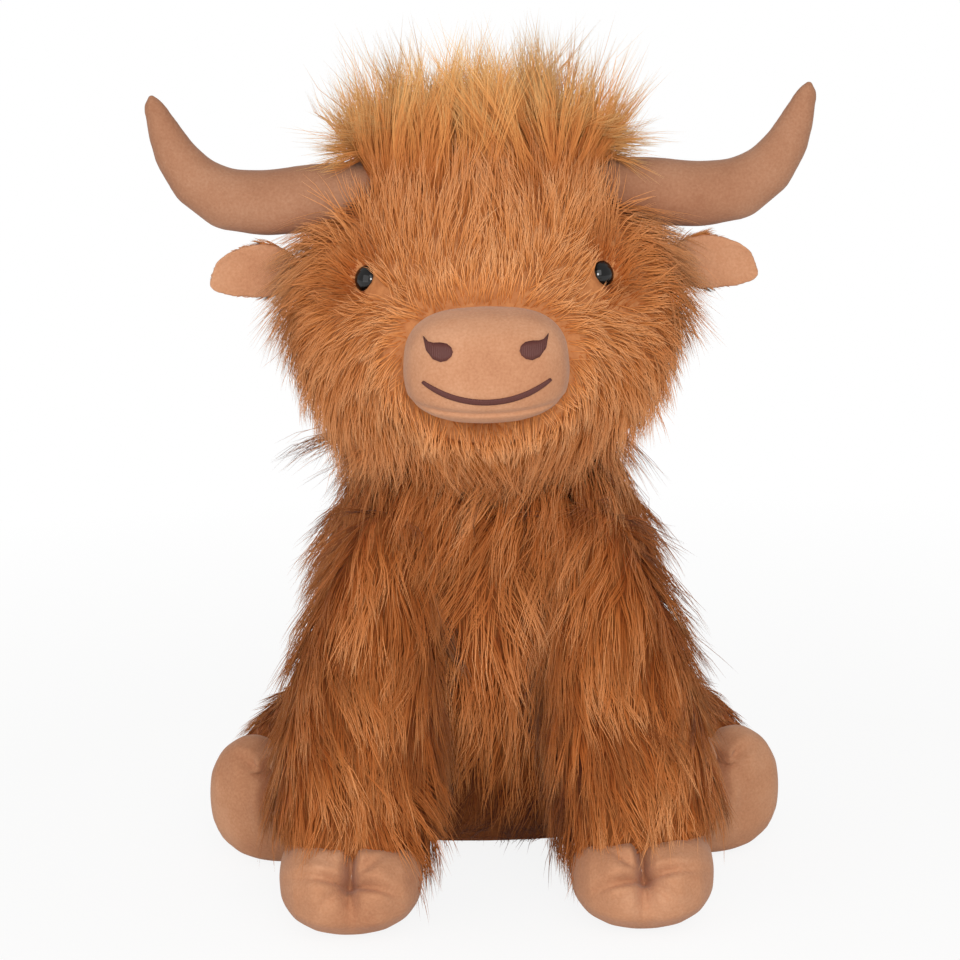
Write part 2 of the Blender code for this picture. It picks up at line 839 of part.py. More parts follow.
def build_horn(side, head_space, short_pile, stuffing):
    word = SIDE_NAMES[side]
    cover = skin(f"{word}_horn_cover", horn_rings(side, 0, LIMB_POINTS))
    hollow = horn_rings(side, SHORT_PILE, LIMB_CORE_POINTS)
    outward = (Vector(hollow[1][0]) - Vector(hollow[0][0])).normalized()
    hollow.insert(0, [point - outward * OVERRUN for point in hollow[0]])
    combine(dress(cover, short_pile), guide(skin(f"{word} horn hollow", hollow)))
    core_rings = horn_rings(side, SHORT_PILE + SEAM_GAP, LIMB_CORE_POINTS)
    core = dress(skin(f"{word}_horn_filling", core_rings), stuffing)
    for piece in (cover, core):
        combine(piece, head_space)
    space_rings = horn_rings(side, -SEAM_GAP, LIMB_POINTS)
    space_rings[0] = [point - outward * SEAM_GAP for point in space_rings[0]]
    space = guide(skin(f"{word} horn space", space_rings))
    return [cover, core], space


# Ears


def ear_frame(side):
    """Length out of the head, width up along the root and depth forward."""
    centre = head_centre()
    height = centre.z + EAR_RISE
    depth = centre.y + EAR_BACK
    out = head_side_at(depth, height)
    feel = Vector((
        head_feel(Vector((out + FEEL_STEP, depth, height))),
        0,
        head_feel(Vector((out, depth, height + FEEL_STEP))),
    )).normalized()
    length = Vector((side * feel.x, 0, feel.z))
    width = Vector((-side * feel.z, 0, feel.x))
    place = Vector((side * out, depth, height)) + length * (EAR_ROLL + SEAM_GAP)
    return axes_at(place, length, width, -Y)


def ear_ring(frame, row, thickness, faces, span):
    """A crescent across the ear, between two faces that follow its cupped front.

    Each face is a share of the thickness and an offset forward of that.
    """
    along, half_width, droop, cup = row
    points = []
    for share, offset in faces:
        face = []
        for step in range(EAR_ACROSS_STEPS + 1):
            across = span * (2 * step / EAR_ACROSS_STEPS - 1)
            edge = 1 - (1 - EAR_EDGE_SHARE) * across ** 2
            depth = share * thickness * edge + offset + cup * across ** 2
            face.append(frame @ Vector((along, across * half_width - droop, depth)))
        points += face if not points else face[::-1]
    return points


def ear_rows():
    """Distance from the root, half-width, droop and cupping."""
    return [
        (length * EAR_LENGTH, width * EAR_HALF_WIDTH, droop * EAR_DROOP, length * EAR_CUP)
        for length, width, droop in EAR_ROW_SHARES
    ]


def build_ear(side, fur, short_pile):
    word = SIDE_NAMES[side]
    frame = ear_frame(side)
    half = EAR_BACK_THICKNESS / 2
    rows = ear_rows()
    both = ((1, 0), (-1, 0))
    rings = [
        ear_ring(frame, (reach * EAR_ROLL, *rows[0][1:]), half * thick, both, 1)
        for reach, thick in EAR_ROLL_SHARES
    ]
    rings += [ear_ring(frame, row, half, both, 1) for row in rows]
    rings.append([frame @ Vector((EAR_LENGTH, -EAR_DROOP, EAR_CUP / 3))])
    back = dress(skin(f"{word}_ear_back", rings), fur)

    ahead = ((1, SEAM_GAP), (1, SEAM_GAP + SHORT_PILE))
    rings = [
        ear_ring(frame, row, half, ahead, EAR_LINING_SHARE)
        for row in rows[EAR_LINING_START_ROW:]
    ]
    lining = dress(skin(f"{word}_ear_lining", rings), short_pile)
    return frame, [back, lining]


# Forelock


def build_forelock(head_space, horn_spaces, fur):
    centre = head_centre() + Y * FORELOCK_BACK
    height = FORELOCK_TOP_RISE - FORELOCK_ROOT_RISE
    rings = []
    for rise, width, depth in FORELOCK_ROW_SHARES:
        half_depth = depth * FORELOCK_HALF_DEPTH
        rings.append(oval(
            centre + Z * (FORELOCK_ROOT_RISE + rise * height), X, -Y,
            width * FORELOCK_HALF_WIDTH, half_depth, half_depth, COVER_POINTS,
        ))
    rings.append([centre + Z * FORELOCK_TOP_RISE])
    forelock = dress(skin("forelock", rings), fur)
    for space in (head_space, *horn_spaces):
        combine(forelock, space)
    return forelock


# Legs and hooves


def limb_rings(points, radii, inset, count, through, neck=1.0):
    """Rings of a limb to its ankle, run on past it by through at the neck's share."""
    kept = [
        (point, radius - inset) for point, radius in zip(points, radii)
        if radius - inset > SHORT_PILE
    ]
    spine = [point for point, radius in kept]
    widths = [radius for point, radius in kept]
    rings = spine_rings(spine, widths, X, count)
    start = spine[0] - (spine[1] - spine[0]).normalized() * widths[0] * 0.55
    rings.insert(0, [start])
    if through:
        along = (spine[-1] - spine[-2]).normalized() * through
        rings[-1] = [spine[-1] + (point - spine[-1]) * neck for point in rings[-1]]
        rings.append([point + along for point in rings[-1]])
    return rings


def hoof_rings(frame, sizes, cleft, inset):
    """Side profiles across a hoof. Its frame is width, toe and ankle side."""
    toe, heel, rise, sole = (size - inset for size in sizes)
    half_width = HOOF_HALF_WIDTH - inset
    rings = [[frame @ Vector((-half_width, 0, 0))]]
    for station in HOOF_STATION_SHARES:
        round_off = (1 - abs(station) ** 2.4) ** (1 / 2.4)
        notch = CLEFT_DEPTH_SHARE * math.exp(-((station / CLEFT_WIDTH_SHARE) ** 2))
        ring = []
        for step in range(HOOF_POINTS):
            angle = 2 * math.pi * step / HOOF_POINTS
            along, high = math.cos(angle), math.sin(angle)
            away = math.degrees(angle) - cleft
            away = (away + 180) % 360 - 180
            pull = max(math.cos(math.radians(90 * away / CLEFT_SPAN_DEGREES)), 0)
            pull = pull if abs(away) < CLEFT_SPAN_DEGREES else 0
            size = round_off * (1 - notch * pull)
            forward = math.copysign(abs(along) ** HOOF_SQUARE_SHARE, along)
            upward = math.copysign(abs(high) ** HOOF_SQUARE_SHARE, high)
            ring.append(frame @ Vector((
                station * half_width,
                forward * size * (toe if along > 0 else heel),
                upward * size * (rise if high > 0 else sole),
            )))
        rings.append(ring)
    rings.append([frame @ Vector((half_width, 0, 0))])
    return rings


def ankle_cutter(name, ankle, along, shift):
    """A block that holds everything on the leg's side of the ankle."""
    across = along.cross(X).normalized()
    frame = axes_at(ankle + along * shift, along.cross(across), across, along)
    reach = 2 * THIGH_RADIUS
    corners = ((-reach, -reach), (reach, -reach), (reach, reach), (-reach, reach))
    rings = [
        [frame @ Vector((x, y, depth)) for x, y in corners] for depth in (-reach, 0)
    ]
    return guide(skin(name, rings))


def build_leg(word, points, radii, hoof, torso_space, floor, finishes):
    """A limb's fur cover, its hoof's cover and the stuffing that fills both."""
    fur, short_pile, stuffing = finishes
    frame, sizes, cleft = hoof
    ankle = points[-1]
    along = (points[-1] - points[-2]).normalized()

    cover = skin(f"{word}_leg_cover", limb_rings(points, radii, 0, LIMB_POINTS, 0))
    dress(cover, fur)
    hollow = limb_rings(points, radii, FUR_DEPTH, LIMB_CORE_POINTS, OVERRUN)
    combine(cover, floor)
    combine(cover, guide(skin(f"{word} leg hollow", hollow)))
    combine(cover, torso_space)

    hoof_cover = skin(f"{word}_hoof_cover", hoof_rings(frame, sizes, cleft, 0))
    dress(hoof_cover, short_pile)
    combine(hoof_cover, floor)
    hollow = skin(f"{word} hoof hollow", hoof_rings(frame, sizes, cleft, SHORT_PILE))
    combine(hoof_cover, guide(hollow))
    combine(hoof_cover, ankle_cutter(f"{word} ankle", ankle, along, SEAM_GAP))

    inset = FUR_DEPTH + SEAM_GAP
    core = skin(f"{word}_leg_filling", limb_rings(
        points, radii, inset, LIMB_CORE_POINTS, ANKLE_TUCK, ANKLE_NECK_SHARE,
    ))
    dress(core, stuffing)
    inset = SHORT_PILE + HOOF_CORE_GAP
    inner = guide(skin(f"{word} hoof core", hoof_rings(frame, sizes, cleft, inset)))
    combine(inner, ankle_cutter(f"{word} ankle tuck", ankle, along, SEAM_GAP))
    combine(core, inner, "UNION")
    combine(core, torso_space)
    return [cover, hoof_cover, core]


def front_leg_spine(side):
    """Points and radii from just under the shoulder's seam to the ankle."""
    start = shoulder_pivot(side)
    end = Vector((
        side * FRONT_ANKLE_SPREAD, start.y - FRONT_ANKLE_REACH, FRONT_ANKLE_HEIGHT,
    ))
    points, radii = [], []
    for out, forward, down, thick in FRONT_LEG_ROW_SHARES:
        points.append(Vector((
            start.x + (end.x - start.x) * out,
            start.y + (end.y - start.y) * forward,
            start.z + (end.z - start.z) * down,
        )))
        radii.append(thick * FRONT_LEG_RADIUS)
    return points, radii


def shoulder_pivot(side):
    """Where the front leg's seam lies on the torso, at its top."""
    height = NECK_HEIGHT + SHOULDER_RISE
    front = torso_front_at(SHOULDER_SPREAD, height * SHOULDER_SHARE)
    return Vector((side * SHOULDER_SPREAD, front, height))


def front_hoof(side, points):
    """A hoof that stands on its sole with its toe forward."""
    ankle = points[-1]
    place = Vector((ankle.x, ankle.y - FRONT_HOOF_FORWARD, FRONT_HOOF_SOLE - FLOOR_FLAT))
    frame = axes_at(place, X, -Y, Z)
    sizes = (FRONT_HOOF_TOE, FRONT_HOOF_HEEL, FRONT_HOOF_RISE, FRONT_HOOF_SOLE)
    return frame, sizes, FRONT_CLEFT_DEGREES


def hip_pivot(side):
    """The rear end of the thigh's seam on the torso."""
    centre, half_width, front, back = torso_section(HIP_HEIGHT)
    angle = math.radians(HIP_ANGLE_DEGREES)
    return Vector((
        side * half_width * math.cos(angle), centre + back * math.sin(angle), HIP_HEIGHT,
    ))


def hind_leg_spine(side):
    """Points and radii from the thigh's rear end, round its swell, to the ankle."""
    start = Vector((side * THIGH_START_SPREAD, THIGH_START_BACK, HIP_HEIGHT))
    end = Vector((side * HIND_ANKLE_SPREAD, -HIND_ANKLE_REACH, HIND_ANKLE_HEIGHT))
    points, radii = [], []
    for along, swell, thick in HIND_LEG_ROW_SHARES:
        radius = thick * THIGH_RADIUS
        point = start.lerp(end, along) + X * side * swell * HIND_SWELL
        point.z = max(radius - FLOOR_FLAT, HIND_ANKLE_HEIGHT)
        points.append(point)
        radii.append(radius)
    return points, radii


def hind_hoof(side, points):
    """A hoof that stands on its heel with its sole facing out of the leg."""
    ankle = points[-1]
    along = points[-1] - points[-2]
    outward = Vector((along.x, along.y, 0)).normalized()
    place = ankle + outward * HIND_HOOF_FORWARD
    place.z = HIND_HOOF_HEEL - FLOOR_FLAT
    frame = axes_at(place, outward.cross(Z), Z, -outward)
    sizes = (HIND_HOOF_TOE, HIND_HOOF_HEEL, HIND_HOOF_RISE, HIND_HOOF_SOLE)
    return frame, sizes, HIND_CLEFT_DEGREES


# Tail


def tail_pivot():
    centre, half_width, front, back = torso_section(TAIL_HEIGHT)
    return Vector((0, centre + back, TAIL_HEIGHT))


def tail_rings():
    root = tail_pivot()
    points = [
        root + Vector((0, out * TAIL_OUT, -down * TAIL_FALL))
        for out, down, thick in TAIL_ROW_SHARES
    ]
    radii = [thick * TAIL_RADIUS for out, down, thick in TAIL_ROW_SHARES]
    rings = spine_rings(points, radii, X, LIMB_CORE_POINTS)
    ends = ((0, -Z), (-1, -Y))
    for end, up in ends:
        radius = radii[end]
        rings[end] = oval(points[end], X, up, radius, radius, radius, LIMB_CORE_POINTS)
    return rings, points[-1]


def build_tail(torso_space, fur):
    rings, end = tail_rings()
    rings.insert(0, [point - Y * TAIL_RADIUS for point in rings[0]])
    tail = dress(skin("tail_cover", rings), fur)
    combine(tail, torso_space)
    start = end - Z * SEAM_GAP
    points, radii = [], []
    for down, lean, thick in TUFT_ROW_SHARES:
        points.append(start + Vector((0, lean * TUFT_RADIUS, -down * TUFT_LENGTH)))
        radii.append(thick * TUFT_RADIUS)
    rings = spine_rings(points, radii, X, LIMB_CORE_POINTS)
    rings[0] = oval(points[0], X, -Y, radii[0], radii[0], radii[0], LIMB_CORE_POINTS)
    tip = points[-1] + (points[-1] - points[-2]).normalized() * radii[-1] * 0.5
    tuft = dress(skin("tail_tuft", rings + [[tip]]), fur)
    return [tail, tuft]


def main():
    clear_scene()
    fur = finish("long_pile_fur", FUR_ORANGE)
    short_pile = finish("short_pile_cloth", SHORT_PILE_TAN)
    thread = finish("embroidery_thread", THREAD_BROWN)
    black = finish("eye_plastic", EYE_BLACK)
    white = finish("washer_plastic", WASHER_WHITE)
    stuffing = finish("polyester_stuffing", STUFFING_WHITE)
    cloth = finish("pouch_cloth", POUCH_CLOTH)

    build_torso(fur, stuffing, cloth)
    torso_space = guide(torso_form("torso space", -SEAM_GAP, COVER_POINTS))
    floor = box_cutter(
        "floor",
        Vector((-FLOOR_REACH, -FLOOR_REACH, -FLOOR_REACH)),
        Vector((FLOOR_REACH, FLOOR_REACH, 0)),
    )

    neck = joint_empty("neck seam", neck_pivot())
    head_pieces = build_head(fur, stuffing)
    head_space = guide(head_form("head space", -SEAM_GAP, COVER_POINTS))
    turning = [*head_pieces, *build_muzzle(short_pile, thread)]
    horn_spaces = []
    for side in SIDE_NAMES:
        turning += build_eye(side, head_pieces, black, white)
        pieces, space = build_horn(side, head_space, short_pile, stuffing)
        turning += pieces
        horn_spaces.append(space)
    turning.append(build_forelock(head_space, horn_spaces, fur))
    hang(turning, neck)

    finishes = (fur, short_pile, stuffing)
    for side, word in SIDE_NAMES.items():
        frame, pieces = build_ear(side, fur, short_pile)
        hang(pieces, joint_empty(f"{word} ear seam", frame.translation))

        points, radii = front_leg_spine(side)
        hoof = front_hoof(side, points)
        pieces = build_leg(
            f"{word}_front", points, radii, hoof, torso_space, floor, finishes,
        )
        hang(pieces, joint_empty(f"{word} shoulder seam", shoulder_pivot(side)))

        points, radii = hind_leg_spine(side)
        hoof = hind_hoof(side, points)
        pieces = build_leg(
            f"{word}_hind", points, radii, hoof, torso_space, floor, finishes,
        )
        hang(pieces, joint_empty(f"{word} hip seam", hip_pivot(side)))
    hang(build_tail(torso_space, fur), joint_empty("tail seam", tail_pivot()))


main()
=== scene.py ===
import math

import bpy
import numpy as np
from mathutils import Matrix, Vector
from mathutils.bvhtree import BVHTree
from mathutils.kdtree import KDTree


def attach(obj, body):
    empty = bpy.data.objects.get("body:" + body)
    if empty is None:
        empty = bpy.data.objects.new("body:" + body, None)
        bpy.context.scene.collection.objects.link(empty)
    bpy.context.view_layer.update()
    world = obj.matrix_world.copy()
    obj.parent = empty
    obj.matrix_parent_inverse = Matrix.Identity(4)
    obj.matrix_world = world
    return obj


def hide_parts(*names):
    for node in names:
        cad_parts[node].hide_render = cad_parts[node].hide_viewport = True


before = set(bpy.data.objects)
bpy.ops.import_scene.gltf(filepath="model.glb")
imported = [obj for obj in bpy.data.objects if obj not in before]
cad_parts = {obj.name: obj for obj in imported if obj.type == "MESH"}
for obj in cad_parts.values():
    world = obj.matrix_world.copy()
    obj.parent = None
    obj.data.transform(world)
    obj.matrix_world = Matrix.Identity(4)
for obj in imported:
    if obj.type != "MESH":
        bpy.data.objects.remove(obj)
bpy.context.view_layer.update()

# Torso
# A pear of knitted-back polyester fur, stuffed with fibre and weighted at the
# seat. The fur is long, combed downwards, and falls in loose pointed locks.

TORSO_VOXEL = 0.004
TORSO_STRANDS = (7100, 7100)
STRAND_RADIUS = 0.00023
TORSO_PILE = 0.034
CHEST_PILE = 0.044
SHOULDER_PILE = 0.056
BACKING_TONES = ("#7d431f", "#9a5a2e")
PALE_BACKING_TONES = ("#b47044", "#c88452")
FUR_ROOT = "#bd6a32"
FUR_BODY = "#e08f4e"
FUR_TIPS = ("#f2a76c", "#f8bf8c")
# Paler tips for the crest's pile: painted light, standing for light shining through its upright fibres
PAINTED_LIGHT_TIPS = ("#f9b068", "#ffdfa0")
FUR_TONE_DARK = "#482a16"
FUR_TONE_MIDDLE = "#c9ab88"
FUR_TONE_LIGHT = "#ffffff"
# Lowest place of a strand's middle line, just above the floor
FUR_FLOOR = 0.0006
# How far a strand shades as a round thread and not as part of the pile
STRAND_ROUNDNESS = 0.62
# Light passes through pile from above and in front, so it shades as if it faced there
GLOW_WAY = (0.0, -0.45, 0.85)


def linear(colour):
    """An sRGB hex colour as linear RGBA."""
    channels = [int(colour[place:place + 2], 16) / 255 for place in (1, 3, 5)]
    return (*(((c + 0.055) / 1.055) ** 2.4 if c > 0.04045 else c / 12.92 for c in channels), 1)


def add_node(material, kind, links=None, **settings):
    """A node with its settings, and its inputs linked from sockets or set to values."""
    tree = material.node_tree
    node = tree.nodes.new(kind)
    for name, value in settings.items():
        setattr(node, name, value)
    for name, value in (links or {}).items():
        socket = node.inputs[name]
        if isinstance(value, bpy.types.NodeSocket):
            tree.links.new(value, socket)
        else:
            socket.default_value = value
    return node


def new_material(name, roughness, **values):
    """A material whose shader has these values set on its own sockets."""
    material = bpy.data.materials.new(name)
    material.use_nodes = True
    shader = material.node_tree.nodes["Principled BSDF"]
    shader.inputs["Roughness"].default_value = roughness
    for socket, value in values.items():
        shader.inputs[socket.replace("_", " ")].default_value = value
    return material, shader


def ramp(material, factor, stops):
    """A colour ramp through (position, hex colour) stops."""
    node = add_node(material, "ShaderNodeValToRGB", {"Fac": factor})
    elements = node.color_ramp.elements
    while len(elements) < len(stops):
        elements.new(0.5)
    for element, (position, colour) in zip(elements, stops):
        element.position = position
        element.color = linear(colour)
    return node.outputs["Color"]


def make_fur_material(name, tips):
    """Dyed polyester pile: dark where it roots, paler where its tips catch light."""
    material, shader = new_material(
        name, 0.6, Specular_IOR_Level=0.14, Sheen_Weight=0.06,
        Sheen_Roughness=0.5,
    )
    place = add_node(material, "ShaderNodeUVMap", uv_map="OFBake")
    split = add_node(material, "ShaderNodeSeparateXYZ", {"Vector": place.outputs["UV"]})
    along = ramp(material, split.outputs["Y"], (
        (0.0, FUR_ROOT), (0.30, FUR_BODY), (0.70, tips[0]), (1.0, tips[1]),
    ))
    tone = ramp(material, split.outputs["X"], (
        (0.0, FUR_TONE_DARK), (0.5, FUR_TONE_MIDDLE), (1.0, FUR_TONE_LIGHT),
    ))
    mix = add_node(
        material, "ShaderNodeMix", {"Factor": 1, 6: along, 7: tone},
        data_type="RGBA", blend_type="MULTIPLY",
    )
    material.node_tree.links.new(mix.outputs[2], shader.inputs["Base Color"])
    return material


def make_undercoat_material(name, tones):
    """The dense short base of the pile and the knitted backing under it."""
    material, shader = new_material(name, 0.9, Specular_IOR_Level=0.1)
    place = add_node(material, "ShaderNodeTexCoord")
    noise = add_node(
        material, "ShaderNodeTexNoise",
        {"Vector": place.outputs["Object"], "Scale": 350.0, "Detail": 3.0},
    )
    colour = ramp(material, noise.outputs["Fac"], ((0.3, tones[0]), (0.7, tones[1])))
    material.node_tree.links.new(colour, shader.inputs["Base Color"])
    return material


pile = make_fur_material("dyed_polyester_pile", FUR_TIPS)
# The crest's pile, whose paler tips are painted light
painted_light_pile = make_fur_material("polyester_pile_painted_light_tips", PAINTED_LIGHT_TIPS)
backing = make_undercoat_material("knitted_fur_backing", BACKING_TONES)
pale_backing = make_undercoat_material("pale_fur_backing", PALE_BACKING_TONES)


def take_up(piece):
    """Makes a piece the only one that the next operators work on."""
    bpy.ops.object.select_all(action="DESELECT")
    piece.select_set(True)
    bpy.context.view_layer.objects.active = piece


def stuffed_form(name, nodes, voxel, rounds, cuts=()):
    """A closed sewn form that covers CAD nodes, evenly remeshed and eased.

    cuts are (point, direction) planes. What lies beyond one is cut off.
    """
    bpy.ops.object.select_all(action="DESELECT")
    for node in nodes:
        part = bpy.data.objects.new(name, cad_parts[node].data.copy())
        bpy.context.scene.collection.objects.link(part)
        part.select_set(True)
        bpy.context.view_layer.objects.active = part
    if len(nodes) > 1:
        bpy.ops.object.join()
    form = bpy.context.view_layer.objects.active
    form.name = form.data.name = name
    form.data.materials.clear()
    bpy.ops.object.mode_set(mode="EDIT")
    bpy.ops.mesh.select_all(action="SELECT")
    bpy.ops.mesh.remove_doubles(threshold=0.00001)
    bpy.ops.object.mode_set(mode="OBJECT")
    remesh = form.modifiers.new("even weave", "REMESH")
    remesh.mode = "VOXEL"
    remesh.voxel_size = voxel
    bpy.ops.object.modifier_apply(modifier=remesh.name)
    keep_largest(form)
    bpy.ops.object.mode_set(mode="EDIT")
    for point, direction in cuts:
        bpy.ops.mesh.select_all(action="SELECT")
        bpy.ops.mesh.bisect(
            plane_co=point, plane_no=direction, use_fill=True, clear_outer=True,
        )
    bpy.ops.mesh.select_all(action="SELECT")
    bpy.ops.mesh.vertices_smooth(factor=0.5, repeat=rounds)
    bpy.ops.object.mode_set(mode="OBJECT")
    form.data.shade_smooth()
    return form


def keep_largest(form):
    """Deletes the loose shells that a remesh left inside a form."""
    mesh = form.data
    edges = np.zeros(len(mesh.edges) * 2, np.int64)
    mesh.edges.foreach_get("vertices", edges)
    edges = edges.reshape(-1, 2)
    label = np.arange(len(mesh.vertices))
    while True:
        low = np.minimum(label[edges[:, 0]], label[edges[:, 1]])
        fresh = label.copy()
        np.minimum.at(fresh, edges[:, 0], low)
        np.minimum.at(fresh, edges[:, 1], low)
        fresh = fresh[fresh]
        if (fresh == label).all():
            break
        label = fresh
    loose = label != np.bincount(label).argmax()
    take_up(form)
    bpy.ops.object.mode_set(mode="EDIT")
    bpy.ops.mesh.select_mode(type="VERT")
    bpy.ops.mesh.select_all(action="DESELECT")
    bpy.ops.object.mode_set(mode="OBJECT")
    mesh.vertices.foreach_set("select", loose)
    bpy.ops.object.mode_set(mode="EDIT")
    bpy.ops.mesh.delete(type="VERT")
    bpy.ops.object.mode_set(mode="OBJECT")


def dress(piece, material, body, replaced=()):
    """Gives a piece its material, its body and what it stands for."""
    piece.data.materials.clear()
    piece.data.materials.append(material)
    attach(piece, body)
    if replaced:
        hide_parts(*replaced)


def unit(vectors):
    return vectors / np.maximum(np.linalg.norm(vectors, axis=-1, keepdims=True), 1e-9)


def smooth_step(values, low, high):
    share = np.clip((values - low) / (high - low), 0, 1)
    return share * share * (3 - 2 * share)


def read_points(mesh):
    points = np.zeros(len(mesh.vertices) * 3)
    mesh.vertices.foreach_get("co", points)
    return points.reshape(-1, 3)


def write_points(mesh, points):
    mesh.vertices.foreach_set("co", points.ravel())
    mesh.update()


def root_points(skin, count, draw, keep):
    """Even random places on a skin, with its normals, where keep allows them."""
    mesh = skin.data
    mesh.calc_loop_triangles()
    corners = np.zeros(len(mesh.loop_triangles) * 3, np.int64)
    mesh.loop_triangles.foreach_get("vertices", corners)
    corners = corners.reshape(-1, 3)
    points = read_points(mesh)
    normals = np.zeros(len(mesh.vertices) * 3)
    mesh.vertices.foreach_get("normal", normals)
    normals = normals.reshape(-1, 3)
    sides = points[corners]
    areas = np.linalg.norm(np.cross(sides[:, 1] - sides[:, 0], sides[:, 2] - sides[:, 0]), axis=1)
    areas = areas * keep(sides.mean(axis=1), unit(normals[corners].mean(axis=1)))
    picked = draw.choice(len(areas), count, p=areas / areas.sum())
    mixes = draw.random((count, 2))
    flip = mixes.sum(axis=1) > 1
    mixes[flip] = 1 - mixes[flip]
    weights = np.stack((1 - mixes.sum(axis=1), mixes[:, 0], mixes[:, 1]), axis=1)[:, :, None]
    chosen = corners[picked]
    return (points[chosen] * weights).sum(axis=1), unit((normals[chosen] * weights).sum(axis=1))


def nearest(places, leaders):
    """For each place, the number of the leader nearest to it."""
    tree = KDTree(len(leaders))
    for number, leader in enumerate(leaders):
        tree.insert(leader, number)
    tree.balance()
    return np.array([tree.find(place)[1] for place in places])


def sway(places):
    """A slow change of direction over the skin, in radians, as brushing leaves it."""
    x, y, z = places.T
    return (
        0.26 * np.sin(52 * x + 33 * z + 18 * y + 1.3)
        + 0.24 * np.sin(-91 * x + 78 * z - 37 * y + 4.1)
        + 0.18 * np.sin(150 * x - 126 * z + 70 * y + 2.2)
    )


def lock_paths(roots, normals, comb, draw, lock_size, steps, clump, mottle):
    """Points along every strand, gathered in locks that narrow to a shared tip.

    comb gives each root its flow, length, lift off the skin, droop and tone.
    """
    count = len(roots)
    locks = max(count // lock_size, 1)
    leaders = draw.choice(count, locks, replace=False)
    own = nearest(roots, roots[leaders])
    place, n = roots[leaders], normals[leaders]
    flow, length, lift, droop, tone = comb(place, n, draw)
    flow = unit(flow - n * (flow * n).sum(axis=1, keepdims=True))
    side = np.cross(flow, n)
    turn = (sway(place) + draw.normal(0, 0.17, locks))[:, None]
    flow = flow * np.cos(turn) + side * np.sin(turn)
    lift = (lift * draw.uniform(0.55, 1.35, locks))[:, None]
    length = length * draw.uniform(0.78, 1.18, locks)
    start = unit(flow + n * lift)
    end = flow + n * (lift * 0.25)
    end[:, 2] -= droop
    end += n * np.maximum(0.04 - (end * n).sum(axis=1, keepdims=True), 0)
    end = unit(end)
    wave = (draw.uniform(0.3, 1.0, locks) * length * 0.085)[:, None]
    bow = wave * draw.normal(0, 0.6, (locks, 1))
    phase = draw.uniform(0, 2 * np.pi, (locks, 1))
    turns = draw.uniform(0.5, 1.1, (locks, 1))
    shares = np.linspace(0, 1, steps)
    lead = np.zeros((locks, steps, 3))
    for step, s in enumerate(shares):
        lead[:, step] = (start * s + (end - start) * (s * s / 2)) * length[:, None]
        lead[:, step] += wave * s * np.sin(phase + 2 * np.pi * turns * s) * side
        lead[:, step] += bow * s * np.sin(2 * np.pi * turns * s) * n

    groups = max(locks // 7, 1)
    group = nearest(place, place[draw.choice(locks, groups, replace=False)])
    share_of = np.maximum(np.bincount(group, minlength=groups), 1)[:, None]
    for step, s in enumerate(shares):
        ends = place + lead[:, step]
        middle = np.stack([np.bincount(group, ends[:, a], groups) for a in range(3)], 1) / share_of
        lead[:, step] += (middle[group] - ends) * 0.22 * s ** 1.4

    stretch = draw.uniform(0.70, 1.08, (count, 1))
    offset = roots - place[own]
    fray = draw.normal(0, 1, (count, 3)) * (length[own] * 0.045)[:, None]
    points = np.zeros((count, steps, 3))
    for step, s in enumerate(shares):
        gather = clump * s ** 0.9
        points[:, step] = roots - offset * gather + lead[own, step] * stretch + fray * s ** 1.5
    tone = tone + draw.normal(0, mottle, groups)[group] + draw.normal(0, mottle * 0.7, locks)
    tone = np.clip(tone[own] + draw.normal(0, mottle * 0.5, count), 0.03, 0.96)
    return points, tone


